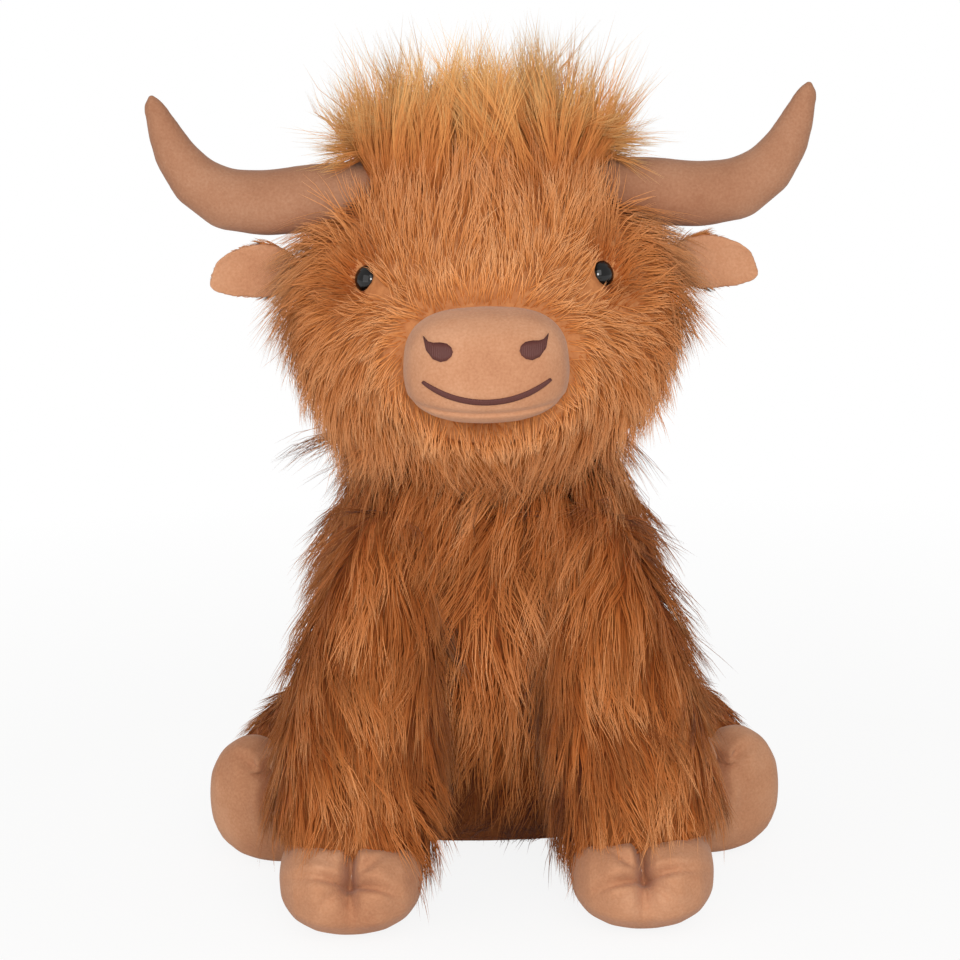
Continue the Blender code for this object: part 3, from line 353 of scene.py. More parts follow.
def strand_mesh(name, points, normals, tone, radius, glow):
    """Closed three-sided strands that taper from their root to a fine tip.

    The map holds each strand's tone across and its root to tip upwards, so that
    one small picture colours them all.
    """
    count, steps = points.shape[:2]
    rings = steps - 1
    along = unit(np.gradient(points, axis=1))
    across = unit(np.cross(along, normals[:, None, :]))
    rise = np.cross(along, across)
    shares = np.linspace(0, 1, steps)[:rings]
    taper = (1 - shares ** 1.5 * 0.70)[None, :, None] * radius
    corners = []
    for corner in range(3):
        angle = 2 * math.pi * corner / 3 + math.pi / 2
        corners.append(
            points[:, :rings]
            + across[:, :rings] * math.cos(angle) * taper
            + rise[:, :rings] * math.sin(angle) * taper * 0.7
        )
    ring_points = np.stack(corners, axis=2).reshape(count, rings * 3, 3)
    vertices = np.concatenate((ring_points, points[:, -1:]), axis=1)
    facing = ring_points.reshape(count, rings, 3, 3) - points[:, :rings, None]
    shown = unit(normals * (1 - glow) + np.array(GLOW_WAY) * glow)
    facing = unit(unit(facing) * STRAND_ROUNDNESS + shown[:, None, None, :])
    facing = np.concatenate((facing.reshape(count, rings * 3, 3), shown[:, None, :]), axis=1)
    per = rings * 3 + 1
    quads, quad_map = [], []
    rows = np.append(shares, 1.0)
    for ring in range(rings - 1):
        for corner in range(3):
            after = (corner + 1) % 3
            low, high = ring * 3, ring * 3 + 3
            quads.append((low + corner, low + after, high + after, high + corner))
            left, right = corner, corner + 1
            quad_map.append((
                (left, rows[ring]), (right, rows[ring]),
                (right, rows[ring + 1]), (left, rows[ring + 1]),
            ))
    triangles, triangle_map = [(2, 1, 0)], [((3, 0.0), (1.5, 0.02), (0, 0.0))]
    low = (rings - 1) * 3
    for corner in range(3):
        triangles.append((low + corner, low + (corner + 1) % 3, per - 1))
        triangle_map.append((
            (corner, rows[rings - 1]), (corner + 1, rows[rings - 1]), (corner + 0.5, 1.0),
        ))
    base = (np.arange(count) * per)[:, None, None]
    quad_loops = (np.array(quads)[None] + base).reshape(-1)
    triangle_loops = (np.array(triangles)[None] + base).reshape(-1)
    maps = []
    for table in (quad_map, triangle_map):
        flat = np.array(table, float).reshape(1, -1, 2).repeat(count, axis=0)
        flat[:, :, 0] = tone[:, None] + flat[:, :, 0] * 0.010
        flat[:, :, 1] = 0.005 + flat[:, :, 1] * 0.99
        maps.append(flat.reshape(-1, 2))
    loops = np.concatenate((quad_loops, triangle_loops))
    totals = np.repeat((4, 3), (count * len(quads), count * len(triangles)))
    starts = np.concatenate(((0,), np.cumsum(totals)[:-1]))
    mesh = bpy.data.meshes.new(name)
    mesh.vertices.add(count * per)
    mesh.vertices.foreach_set("co", vertices.astype(np.float32).ravel())
    mesh.loops.add(len(loops))
    mesh.loops.foreach_set("vertex_index", loops.astype(np.int32))
    mesh.polygons.add(len(totals))
    mesh.polygons.foreach_set("loop_start", starts.astype(np.int32))
    mesh.polygons.foreach_set("loop_total", totals.astype(np.int32))
    mesh.update(calc_edges=True)
    layer = mesh.uv_layers.new(name="OFBake")
    layer.data.foreach_set("uv", np.concatenate(maps).astype(np.float32).ravel())
    mesh.shade_smooth()
    mesh.normals_split_custom_set_from_vertices(facing.reshape(-1, 3))
    piece = bpy.data.objects.new(name, mesh)
    bpy.context.scene.collection.objects.link(piece)
    return piece


def grow_fur(
    names, skin, body, counts, seed, comb, keep,
    lock_size=6, steps=5, clump=0.66, radius=STRAND_RADIUS, clear=None, glow=0.25,
    mottle=0.10, pile_material=pile,
):
    """Fur over a skin, in as many pieces as there are names."""
    draw = np.random.default_rng(seed)
    for name, count in zip(names, counts):
        roots, normals = root_points(skin, count, draw, keep)
        points, tone = lock_paths(
            roots, normals, comb, draw, lock_size, steps, clump, mottle,
        )
        if clear:
            kept = clear(points, draw)
            points, tone, normals = points[kept], tone[kept], normals[kept]
        points[:, :, 2] = np.maximum(points[:, :, 2], FUR_FLOOR)
        piece = strand_mesh(name, points, normals, tone, radius, glow)
        dress(piece, pile_material, body)


def hemmed(length, heights, hem):
    """Length cut back where the fur would hang below a hem."""
    return np.minimum(length, np.maximum((heights - hem) * 1.15, length * 0.22))


def comb_torso(p, n, draw):
    chest = smooth_step(p[:, 1], -0.03, -0.075) * smooth_step(p[:, 2], 0.045, 0.085)
    neck = smooth_step(p[:, 2], 0.125, 0.155)
    flow = np.zeros_like(p)
    flow[:, 0] = p[:, 0] * (3.2 + 1.2 * neck) - 0.14 - 0.50 * neck
    flow[:, 1] = np.maximum(n[:, 2], 0) * np.clip((p[:, 1] + 0.012) * 30, -0.9, 0.9)
    flow[:, 2] = -1
    shoulder = smooth_step(np.abs(p[:, 0]), 0.014, 0.030) * smooth_step(p[:, 2], 0.150, 0.168)
    shoulder *= smooth_step(p[:, 1], -0.015, -0.040) * smooth_step(np.abs(p[:, 0]), 0.062, 0.050)
    flow[:, 1] -= 0.5 * shoulder
    length = TORSO_PILE + (CHEST_PILE - TORSO_PILE) * chest
    length = length + (SHOULDER_PILE - length) * shoulder
    length = hemmed(length, p[:, 2], draw.uniform(0.004, 0.016, len(p)))
    flank = smooth_step(np.abs(n[:, 0]), 0.55, 0.90)
    lift = 0.28 + 0.30 * np.maximum(chest, neck) + 0.25 * chest * neck + 0.45 * shoulder
    lift *= 1 - 0.45 * flank
    droop = np.full(len(p), 0.30)
    # Painted shade: the fur low on the front of the belly, between the front legs, is set darker
    under = smooth_step(p[:, 2], 0.100, 0.030) * smooth_step(-p[:, 1], 0.0, 0.05)
    tone = 0.54 - 0.50 * under
    return flow, length, lift, droop, tone


def keep_torso(p, n):
    front = smooth_step(p[:, 1], -0.02, -0.06) * smooth_step(p[:, 2], 0.05, 0.09)
    shoulders = smooth_step(p[:, 2], 0.145, 0.165) * front
    nape = smooth_step(p[:, 2], 0.150, 0.172) * (1 - front)
    return ((p[:, 2] > 0.004) & (p[:, 2] < 0.204)) * (0.7 + front + shoulders + 0.9 * nape)


torso = stuffed_form("torso_backing", ["torso_cover", "torso_filling"], TORSO_VOXEL, 6)
dress(torso, backing, "torso", ["torso_cover"])
grow_fur(
    ("torso_fur_first", "torso_fur_second"), torso, "torso",
    TORSO_STRANDS, 11, comb_torso, keep_torso,
)

# Stuffing, pouch and washers
# What is inside: a woven pouch of pellets and the moulded washers that hold the
# eyes, both in their solid shapes, and loose fibre, as one eased core per piece.

INSIDES = (
    ("filling", "white_polyester_fibre", "#ece9e3", 0.95),
    ("pouch", "unbleached_woven_cotton", "#ddd8cc", 0.90),
    ("washer", "moulded_white_polypropylene", "#e8e8e4", 0.40),
)
insides = {}
for word, kind, colour, roughness in INSIDES:
    insides[word], shader = new_material(kind, roughness)
    shader.inputs["Base Color"].default_value = linear(colour)
    for name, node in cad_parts.items():
        if word in name:
            node.data.materials.clear()
            node.data.materials.append(insides[word])
core = stuffed_form("torso_fibre", ["torso_filling"], TORSO_VOXEL, 12)
dress(core, insides["filling"], "torso", ["torso_filling"])

# Head
# A broad ball with a drawn-out snout, of the same fur. The pile is combed away
# from the muzzle: up over the brow, out over the cheeks and down from the chin.

HEAD_VOXEL = 0.003
HEAD_STRANDS = (7400, 7400, 7400)
FINE_RADIUS = 0.00020
HEAD_PILE = 0.023
CHEEK_PILE = 0.034
CHIN_PILE = 0.040
TEMPLE_PILE = 0.038
NAPE_GAIN = 0.012
BROW_PILE = 0.042
SNOUT_PILE = 0.013
FACE_CENTRE = (0.0, -0.150, 0.238)
MUZZLE_EDGE = -0.1415
MUZZLE_REACHES = (0.0322, 0.0232, 0.0200)
NECK_CENTRE = (0.0, -0.025, 0.168)
NECK_CLEAR = 0.056
EYE_CLEAR = 0.0056
# The eye as seen from in front: how far inward its middle is, and how narrow it looks
EYE_INWARD = 0.0030
EYE_NARROWING = (1.45, 1.0, 1.0)
# Place round the muzzle and the way the fur points there, in degrees from level
FACE_ANGLES = (-90, -60, -25, 0, 25, 50, 90)
COMB_ANGLES = (-90, -86, -74, -50, 6, 64, 90)


def find_eye(node):
    """The side a CAD eye is on, the top of its dome, and the way it looks."""
    points = read_points(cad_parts[node].data)
    side = 1 if points[:, 0].mean() > 0 else -1
    turn, lift = math.radians(46), math.radians(10)
    axis = Vector((
        side * math.sin(turn) * math.cos(lift), -math.cos(turn) * math.cos(lift), math.sin(lift),
    ))
    reach = points @ np.array(axis)
    return side, Vector(points[reach > reach.max() - 0.00005].mean(axis=0)), axis


eye_places = {}
for node in ("left_eye", "right_eye"):
    side, front, axis = find_eye(node)
    eye_places[side] = (front, axis)


def eye_distance(p):
    """How far each point is from the nearer eye's axis."""
    best = np.full(len(p), 1.0)
    for place, axis in eye_places.values():
        reach = p - np.array(place)
        off = reach - np.outer(reach @ np.array(axis), np.array(axis))
        near = np.linalg.norm(off, axis=1) + np.maximum(-reach @ np.array(axis) - 0.02, 0) * 9
        best = np.minimum(best, near)
    return best


def comb_head(p, n, draw):
    side = np.where(p[:, 0] < 0, -1.0, 1.0)
    round_face = np.degrees(np.arctan2(
        (p[:, 2] - FACE_CENTRE[2]) / 0.070, np.abs(p[:, 0]) / 0.081,
    ))
    angle = np.radians(np.interp(round_face, FACE_ANGLES, COMB_ANGLES))
    snout = smooth_step(p[:, 1], -0.104, -0.133)
    flow = np.stack((side * np.cos(angle), 0.22 * (1 - snout), np.sin(angle)), axis=1)
    behind = smooth_step(p[:, 1], -0.062, -0.015)[:, None]
    nape = smooth_step(p[:, 2], 0.245, 0.210)
    back = np.stack((p[:, 0] * 5, 0.5 - 0.5 * nape, np.full(len(p), -1.0)), axis=1)
    flow = unit(flow) * (1 - behind) + unit(back) * behind
    low = smooth_step(p[:, 2], 0.268, 0.225)
    cheek = smooth_step(np.abs(p[:, 0]), 0.028, 0.066) * low
    cheek *= 1 - 0.7 * smooth_step(p[:, 2], 0.215, 0.235)
    chin = smooth_step(p[:, 2], 0.225, 0.200)
    brow = smooth_step(p[:, 2], 0.272, 0.298) * (1 - behind[:, 0])
    brow *= smooth_step(np.abs(p[:, 0]), 0.062, 0.048)
    temple = smooth_step(np.abs(p[:, 0]), 0.044, 0.058) * smooth_step(p[:, 2], 0.248, 0.262)
    temple *= smooth_step(p[:, 1], -0.100, -0.080) * smooth_step(p[:, 1], -0.005, -0.020)
    outward = np.stack((side, np.full(len(p), -0.25), (p[:, 2] - 0.262) * 9), axis=1)
    flow = unit(flow) * (1 - temple[:, None]) + unit(outward) * temple[:, None]
    length = HEAD_PILE + (CHEEK_PILE - HEAD_PILE) * cheek
    length = length + (CHIN_PILE - length) * chin
    length = length + (TEMPLE_PILE - length) * temple
    length += NAPE_GAIN * nape * behind[:, 0]
    length = length + (BROW_PILE * draw.uniform(0.35, 1.15, len(p)) - length) * brow
    length = length + (SNOUT_PILE - length) * snout
    jaw = smooth_step(p[:, 2], 0.235, 0.210) * smooth_step(p[:, 0], -0.015, -0.045)
    jaw *= 1 - behind[:, 0]
    flow[:, 0] -= 0.45 * jaw
    length *= 1 + 0.30 * jaw
    socket = 1 - smooth_step(eye_distance(p), 0.007, 0.021)
    length *= 1 - 0.40 * socket
    lift = 0.26 - 0.06 * cheek + 0.42 * snout + 0.46 * brow + 0.16 * temple
    droop = 0.04 + 0.56 * np.maximum(low, behind[:, 0]) * (1 - temple) - 0.25 * brow
    tone = 0.80 + 0.06 * smooth_step(p[:, 2], 0.25, 0.29) + 0.10 * snout - 0.10 * behind[:, 0]
    # Painted shade round each eye: the fur near it is set darker
    tone -= 0.36 * socket + 0.10 * chin * (1 - snout)
    return flow, length, lift, droop, tone


def keep_head(p, n):
    neck = np.linalg.norm(p - np.array(NECK_CENTRE), axis=1)
    up = p[:, 2] - FACE_CENTRE[2]
    reach = np.where(up > 0, MUZZLE_REACHES[1], MUZZLE_REACHES[2])
    outside = (np.abs(p[:, 0]) / MUZZLE_REACHES[0]) ** 2.8 + (np.abs(up) / reach) ** 2.8 > 1.06
    keep = (neck > NECK_CLEAR) & (p[:, 1] > MUZZLE_EDGE) & (outside | (p[:, 1] > -0.128))
    front = 1 - 0.45 * smooth_step(p[:, 1], -0.06, -0.01)
    rim = 1 + 2.5 * smooth_step(eye_distance(p), 0.011, 0.007)
    return (keep & (eye_distance(p) > 0.0050)) * front * rim


def clear_face(points, draw):
    """Leaves out strands that would lie over an eye or the muzzle."""
    between = np.concatenate((points, (points[:, 1:] + points[:, :-1]) / 2), axis=1)
    kept = np.ones(len(points), bool)
    spare = draw.random(len(points))
    for side, (place, axis) in eye_places.items():
        from_front = np.array(place) - np.array((side * EYE_INWARD, 0, 0))
        for middle, way in ((np.array(place), np.array(axis)), (from_front, np.array((0, -1, 0)))):
            reach = between - middle
            depth = reach @ way
            off = reach - depth[..., None] * way
            off = np.linalg.norm(off * np.array(EYE_NARROWING), axis=2)
            over = ((off < EYE_CLEAR) & (depth > -0.003) & (depth < 0.030)).any(axis=1)
            edge = ((off < EYE_CLEAR * 0.74) & (depth > -0.003) & (depth < 0.030)).any(axis=1)
            kept &= ~(edge | (over & (spare > 0.55)))
    up = between[..., 2] - FACE_CENTRE[2]
    reach = np.where(up > 0, MUZZLE_REACHES[1], MUZZLE_REACHES[2])
    inside = (np.abs(between[..., 0]) / MUZZLE_REACHES[0]) ** 2.8 + (np.abs(up) / reach) ** 2.8
    kept &= ~((inside < 0.80) & (between[..., 1] < MUZZLE_EDGE)).any(axis=1)
    return kept


head = stuffed_form("head_backing", ["head_cover", "head_filling"], HEAD_VOXEL, 5)
dress(head, pale_backing, "head", ["head_cover"])
core = stuffed_form("head_fibre", ["head_filling"], TORSO_VOXEL, 6)
dress(core, insides["filling"], "head", ["head_filling"])
grow_fur(
    ("head_fur_first", "head_fur_second", "head_fur_third"), head, "head",
    HEAD_STRANDS, 23, comb_head, keep_head,
    clump=0.42, radius=FINE_RADIUS, clear=clear_face, glow=0.36, mottle=0.04,
)

# Crest
# The same fur left at its full length on the crown and brushed upright. Its
# fibres part into spikes, and their tips are painted paler, as painted light shining through them.

CREST_STRANDS = (6300, 6300)
CREST_BASE = 0.298
CREST_SHRINK = 0.42
CREST_NARROWING = 0.82
CREST_TOP = 0.374
CREST_LIMIT = 0.3775


def comb_crest(p, n, draw):
    share = np.clip(p[:, 0] / 0.050, -1.1, 1.1)
    flow = np.zeros_like(p)
    flow[:, 0] = share * 0.36 + share ** 5 * 0.85
    flow[:, 1] = (p[:, 1] + 0.062) * 8
    flow[:, 2] = 1
    dome = CREST_TOP - 0.008 * share ** 2 - 0.016 * np.abs(share) ** 6
    length = np.maximum(dome - p[:, 2], 0.012) * (1.04 - 0.46 * draw.random(len(p)) ** 1.4)
    lift = np.full(len(p), 0.16)
    droop = np.full(len(p), -0.05)
    tone = np.full(len(p), 0.86)
    return flow, length, lift, droop, tone


def keep_crest(p, n):
    return (p[:, 2] > CREST_BASE) & (n[:, 2] > -0.3)


def clear_crest(points, draw):
    """Leaves out the few strands that would stand too far above the crest."""
    return points[:, :, 2].max(axis=1) < CREST_LIMIT


crest = stuffed_form("crest_backing", ["forelock"], TORSO_VOXEL, 6)
for vertex in crest.data.vertices:
    vertex.co.z = CREST_BASE + (vertex.co.z - CREST_BASE) * CREST_SHRINK
    vertex.co.x *= CREST_NARROWING
dress(crest, pale_backing, "head", ["forelock"])
grow_fur(
    ("crest_fur_first", "crest_fur_second"), crest, "head",
    CREST_STRANDS, 37, comb_crest, keep_crest, lock_size=8, clump=0.60,
    radius=FINE_RADIUS, clear=clear_crest, glow=0.80, mottle=0.06, pile_material=painted_light_pile,
)

# Muzzle
# A cap of short-pile plush cloth, sewn to the fur round the snout and stuffed
# tight. The nap is brushed flat, so it looks almost smooth and slightly mottled.

CLOTH_TONES = ("#ae7756", "#bc8663", "#c89472")
CLOTH_VOXEL = 0.002
CLOTH_PRESSURE = 4.0
MUZZLE_SWELL = 0.0010
MUZZLE_HALF = 0.034
MUZZLE_SEAM_FLOOR = 0.2225
MUZZLE_SEAM_RISE = 0.0045
SEAM_WIDTH = 0.0012
SEAM_DEPTH = 0.0020


def make_cloth_material(name, tones):
    """Velboa, a knitted plush with a 1 mm nap: matte, with a pale bloom where brushed."""
    material, shader = new_material(
        name, 0.85, Specular_IOR_Level=0.2, Sheen_Weight=0.12, Sheen_Roughness=0.45,
    )
    place = add_node(material, "ShaderNodeTexCoord").outputs["Object"]
    patches = add_node(
        material, "ShaderNodeTexNoise", {"Vector": place, "Scale": 32.0, "Detail": 4.0},
    )
    nap = add_node(
        material, "ShaderNodeTexNoise", {"Vector": place, "Scale": 900.0, "Detail": 2.0},
    )
    mixed = add_node(
        material, "ShaderNodeMix",
        {"Factor": 0.35, 2: patches.outputs["Fac"], 3: nap.outputs["Fac"]}, data_type="FLOAT",
    )
    colour = ramp(material, mixed.outputs[0], (
        (0.34, tones[0]), (0.5, tones[1]), (0.66, tones[2]),
    ))
    material.node_tree.links.new(colour, shader.inputs["Base Color"])
    bump = add_node(
        material, "ShaderNodeBump",
        {"Height": nap.outputs["Fac"], "Strength": 0.35, "Distance": 0.0006},
    )
    material.node_tree.links.new(bump.outputs["Normal"], shader.inputs["Normal"])
    return material


def inflate(form, frames, cap, held):
    """Blows a sewn form up as cloth, and caps how far its points move.

    held gives each point a share of how firmly its seam or stitch keeps it.
    """
    mesh = form.data
    before = read_points(mesh)
    group = form.vertex_groups.new(name="sewn")
    for index, share in enumerate(held(before)):
        if share > 0:
            group.add([index], float(share), "REPLACE")
    cloth_modifier = form.modifiers.new("stuffing", "CLOTH")
    settings = cloth_modifier.settings
    settings.use_pressure = True
    settings.uniform_pressure_force = CLOTH_PRESSURE
    settings.vertex_group_mass = group.name
    settings.effector_weights.gravity = 0
    settings.quality = 4
    cloth_modifier.point_cache.frame_end = frames
    for step in range(1, frames + 1):
        bpy.context.scene.frame_set(step)
    take_up(form)
    bpy.ops.object.modifier_apply(modifier=cloth_modifier.name)
    bpy.context.scene.frame_set(1)
    form.vertex_groups.clear()
    moved = read_points(mesh) - before
    far = np.linalg.norm(moved, axis=1, keepdims=True)
    moved *= cap * np.tanh(far / cap) / np.maximum(far, 1e-9)
    write_points(mesh, before + moved)


def subdivide(form):
    take_up(form)
    finer = form.modifiers.new("finer", "SUBSURF")
    finer.levels = 1
    bpy.ops.object.modifier_apply(modifier=finer.name)
    form.data.shade_smooth()


cloth = make_cloth_material("velboa_plush", CLOTH_TONES)
muzzle = stuffed_form(
    "muzzle_cap", ["muzzle_cover", "head_filling"], CLOTH_VOXEL, 8,
    [(Vector((0, -0.130, 0.24)), Vector((0, 1, 0)))],
)
inflate(muzzle, 16, MUZZLE_SWELL, lambda p: smooth_step(p[:, 1], -0.140, -0.134))
subdivide(muzzle)
points = read_points(muzzle.data)
seam = MUZZLE_SEAM_FLOOR + MUZZLE_SEAM_RISE * (np.abs(points[:, 0]) / MUZZLE_HALF) ** 2
sewn = np.exp(-((points[:, 2] - seam) / SEAM_WIDTH) ** 2) * smooth_step(points[:, 1], -0.140, -0.150)
points[:, 1] += SEAM_DEPTH * sewn
write_points(muzzle.data, points)
dress(muzzle, cloth, "head", ["muzzle_cover"])

# Embroidery
# Satin stitch in dark brown thread: two drop-shaped nostrils and one curved
# line for the mouth, raised a little from the cloth.

THREAD = "#5a2d26"
THREAD_RISE = 0.0007
THREAD_DEPTH = 0.0016
MOUTH_HALF_WIDTH = 0.0252
MOUTH_SAG = 0.0080
MOUTH_FLOOR = 0.2282
MOUTH_LINE = 0.0021
NOSTRIL_SPREAD = 0.0180
NOSTRIL_HEIGHT = 0.2480
# Outward and upward places round each nostril, in millimetres
NOSTRIL_UPPER = ((-4.9, 0.2), (-4.3, 2.0), (-2.6, 3.3), (0.0, 3.6), (2.6, 3.4), (4.7, 3.8), (6.6, 5.6))
NOSTRIL_LOWER = ((-4.9, 0.2), (-4.2, -1.6), (-2.4, -3.1), (0.0, -3.7), (2.9, -2.6), (5.4, 0.5), (6.6, 5.6))


def make_thread_material():
    """Rayon thread laid side by side, with a soft gloss along the stitches."""
    material, shader = new_material("rayon_satin_stitch", 0.55, Specular_IOR_Level=0.4)
    shader.inputs["Base Color"].default_value = linear(THREAD)
    place = add_node(material, "ShaderNodeTexCoord").outputs["Object"]
    stitches = add_node(
        material, "ShaderNodeTexWave", {"Vector": place, "Scale": 420.0, "Distortion": 1.5},
        bands_direction="X",
    )
    bump = add_node(
        material, "ShaderNodeBump",
        {"Height": stitches.outputs["Fac"], "Strength": 0.5, "Distance": 0.0003},
    )
    material.node_tree.links.new(bump.outputs["Normal"], shader.inputs["Normal"])
    return material


thread = make_thread_material()
muzzle_surface = BVHTree.FromObject(muzzle, bpy.context.evaluated_depsgraph_get())


def stitch_patch(name, rows, node):
    """A raised patch of stitches over a grid of (x, z) places on the muzzle."""
    front, back = [], []
    for row in rows:
        for x, z in row:
            hit, normal, _, _ = muzzle_surface.ray_cast(Vector((x, -0.25, z)), Vector((0, 1, 0)))
            front.append(hit + normal * THREAD_RISE)
            back.append(hit - normal * THREAD_DEPTH)
    across = len(rows[0])
    faces = []
    size = len(front)
    for r in range(len(rows) - 1):
        for c in range(across - 1):
            a = r * across + c
            b = a + across
            faces.append((a, a + 1, b + 1, b))
            faces.append((size + a, size + b, size + b + 1, size + a + 1))
    rim = list(range(across))
    rim += [r * across + across - 1 for r in range(1, len(rows))]
    rim += [(len(rows) - 1) * across + c for c in range(across - 2, -1, -1)]
    rim += [r * across for r in range(len(rows) - 2, 0, -1)]
    for a, b in zip(rim, rim[1:] + rim[:1]):
        faces.append((a, size + a, size + b, b))
    mesh = bpy.data.meshes.new(name)
    mesh.from_pydata([tuple(v) for v in front + back], [], faces)
    patch = bpy.data.objects.new(name, mesh)
    bpy.context.scene.collection.objects.link(patch)
    take_up(patch)
    bpy.ops.object.mode_set(mode="EDIT")
    bpy.ops.mesh.select_all(action="SELECT")
    bpy.ops.mesh.remove_doubles(threshold=0.00001)
    bpy.ops.mesh.normals_make_consistent(inside=False)
    bpy.ops.object.mode_set(mode="OBJECT")
    mesh.shade_smooth()
    dress(patch, thread, "head", [node])


radius = (MOUTH_HALF_WIDTH ** 2 + MOUTH_SAG ** 2) / (2 * MOUTH_SAG)
half_angle = math.asin(MOUTH_HALF_WIDTH / radius)
mouth_rows = []
for line in (-0.5, -0.17, 0.17, 0.5):
    row = []
    for step in range(49):
        share = 2 * step / 48 - 1
        reach = radius + line * MOUTH_LINE * (1 - 0.5 * abs(share) ** 6)
        angle = half_angle * share
        row.append((reach * math.sin(angle), MOUTH_FLOOR + radius - reach * math.cos(angle)))
    mouth_rows.append(row)
stitch_patch("mouth_stitching", mouth_rows, "mouth")

for side, word in ((1, "left"), (-1, "right")):
    rows = []
    for share in (0, 0.25, 0.5, 0.75, 1):
        row = []
        for (x0, z0), (x1, z1) in zip(NOSTRIL_UPPER, NOSTRIL_LOWER):
            x, z = x0 + (x1 - x0) * share, z0 + (z1 - z0) * share
            row.append((side * (NOSTRIL_SPREAD + x / 1000), NOSTRIL_HEIGHT + z / 1000))
        rows.append(row)
    stitch_patch(f"{word}_nostril_stitching", rows, f"{word}_nostril")

# Eyes
# Safety eyes: polished black domes moulded in one with a ribbed stem, pushed
# through the fur's backing and locked inside.

EYE_RADIUS = 0.0062
EYE_DOME = 0.0052
EYE_RISE = 0.0016


def make_eye_material():
    """Injection-moulded black polypropylene, polished, with a clear hard shine."""
    material, shader = new_material("moulded_black_polypropylene", 0.05, Specular_IOR_Level=0.5)
    shader.inputs["Base Color"].default_value = linear("#080706")
    return material


eye_black = make_eye_material()
for side, word in ((1, "left"), (-1, "right")):
    front, axis = eye_places[side]
    bpy.ops.object.select_all(action="DESELECT")
    bpy.ops.mesh.primitive_uv_sphere_add(segments=48, ring_count=24, radius=EYE_RADIUS)
    eye = bpy.context.object
    eye.name = eye.data.name = f"{word}_eye_button"
    eye.data.transform(Matrix.Diagonal((1, 1, EYE_DOME / EYE_RADIUS, 1)))
    turn = Vector((0, 0, 1)).rotation_difference(axis).to_matrix().to_4x4()
    eye.data.transform(Matrix.Translation(front - axis * (EYE_DOME - EYE_RISE)) @ turn)
    eye.data.shade_smooth()
    dress(eye, eye_black, "head", [f"{word}_eye"])

# Horns
# Tubes of the short-pile cloth, stuffed firm and sewn to the sides of the crown.
# They leave the head level and then turn up to a blunt point.

HORN_SWELL = 0.0008
# The horns are the same cloth as the muzzle; these darker tones are painted shade on them
HORN_SHADE_TONES = ("#9b6a4e", "#a7775a", "#b28467")

shaded_horn_cloth = make_cloth_material("velboa_plush_painted_horn_shade", HORN_SHADE_TONES)
for word in ("left", "right"):
    horn = stuffed_form(
        f"{word}_horn_plush", [f"{word}_horn_cover", f"{word}_horn_filling"], CLOTH_VOXEL, 8,
    )
    inflate(horn, 12, HORN_SWELL, lambda p: smooth_step(np.abs(p[:, 0]), 0.060, 0.050))
    subdivide(horn)
    dress(horn, shaded_horn_cloth, "head", [f"{word}_horn_cover"])
    core = stuffed_form(f"{word}_horn_fibre", [f"{word}_horn_filling"], CLOTH_VOXEL, 12)
    dress(core, insides["filling"], "head", [f"{word}_horn_filling"])

# Ears
# A leaf of fur backed on its front with a leaf of the short-pile cloth, turned
# right side out and cupped, then sewn to the head at its root.

EAR_VOXEL = 0.0015
LINING_VOXEL = 0.0008
EAR_PILE = 0.010
EAR_STRANDS = 1900
LINING_SPREAD = (1.07, 1.0, 1.09)


def comb_ear(p, n, draw):
    flow = np.zeros_like(p)
    flow[:, 0] = np.sign(p[:, 0])
    flow[:, 2] = -0.25
    length = EAR_PILE * (1 - 0.75 * smooth_step(np.abs(p[:, 0]), 0.082, 0.104))
    lift = np.full(len(p), 0.32)
    droop = np.full(len(p), 0.25)
    tone = np.full(len(p), 0.86)
    return flow, length, lift, droop, tone


def keep_ear(p, n):
    return n[:, 1] > 0.10


for number, word in enumerate(("left", "right")):
    leaf = stuffed_form(f"{word}_ear_backing", [f"{word}_ear_back"], EAR_VOXEL, 4)
    dress(leaf, pale_backing, f"{word}_ear", [f"{word}_ear_back"])
    grow_fur(
        (f"{word}_ear_fur",), leaf, f"{word}_ear", (EAR_STRANDS,), 41 + number,
        comb_ear, keep_ear, steps=4, clump=0.5, radius=FINE_RADIUS, glow=0.50,
    )
    lining = stuffed_form(f"{word}_ear_lining_plush", [f"{word}_ear_lining"], LINING_VOXEL, 6)
    points = read_points(lining.data)
    middle = points.mean(axis=0)
    write_points(lining.data, middle + (points - middle) * np.array(LINING_SPREAD))
    dress(lining, cloth, f"{word}_ear", [f"{word}_ear_lining"])

# Front legs
# Tapered tubes of the long fur, stuffed loosely, with each foot of short-pile
# cloth sewn into the open end. The fur falls over the seam in a fringe.

LEG_VOXEL = 0.0035
FRONT_STRANDS = 7000
LEG_PILE = 0.034
FRONT_HEM = 0.037
FRONT_ANKLE = (0.061, -0.120, 0.034)
HOOF_SEAM_TUCK = 0.010
STITCH_PULL = 0.0145
STITCH_REACH = 0.0060
HOOF_SWELL = 0.0014
FOLD_DEPTH = 0.0052
LOBE_RISE = 0.0018
CORE_SET_BACK = 0.001
# Ways that folds run from the stitch, in degrees from the toe's up, and their shares
FRONT_FOLDS = ((6, 1.5), (176, 0.35), (104, 0.85), (-82, 0.70), (52, 0.35), (-132, 0.40))


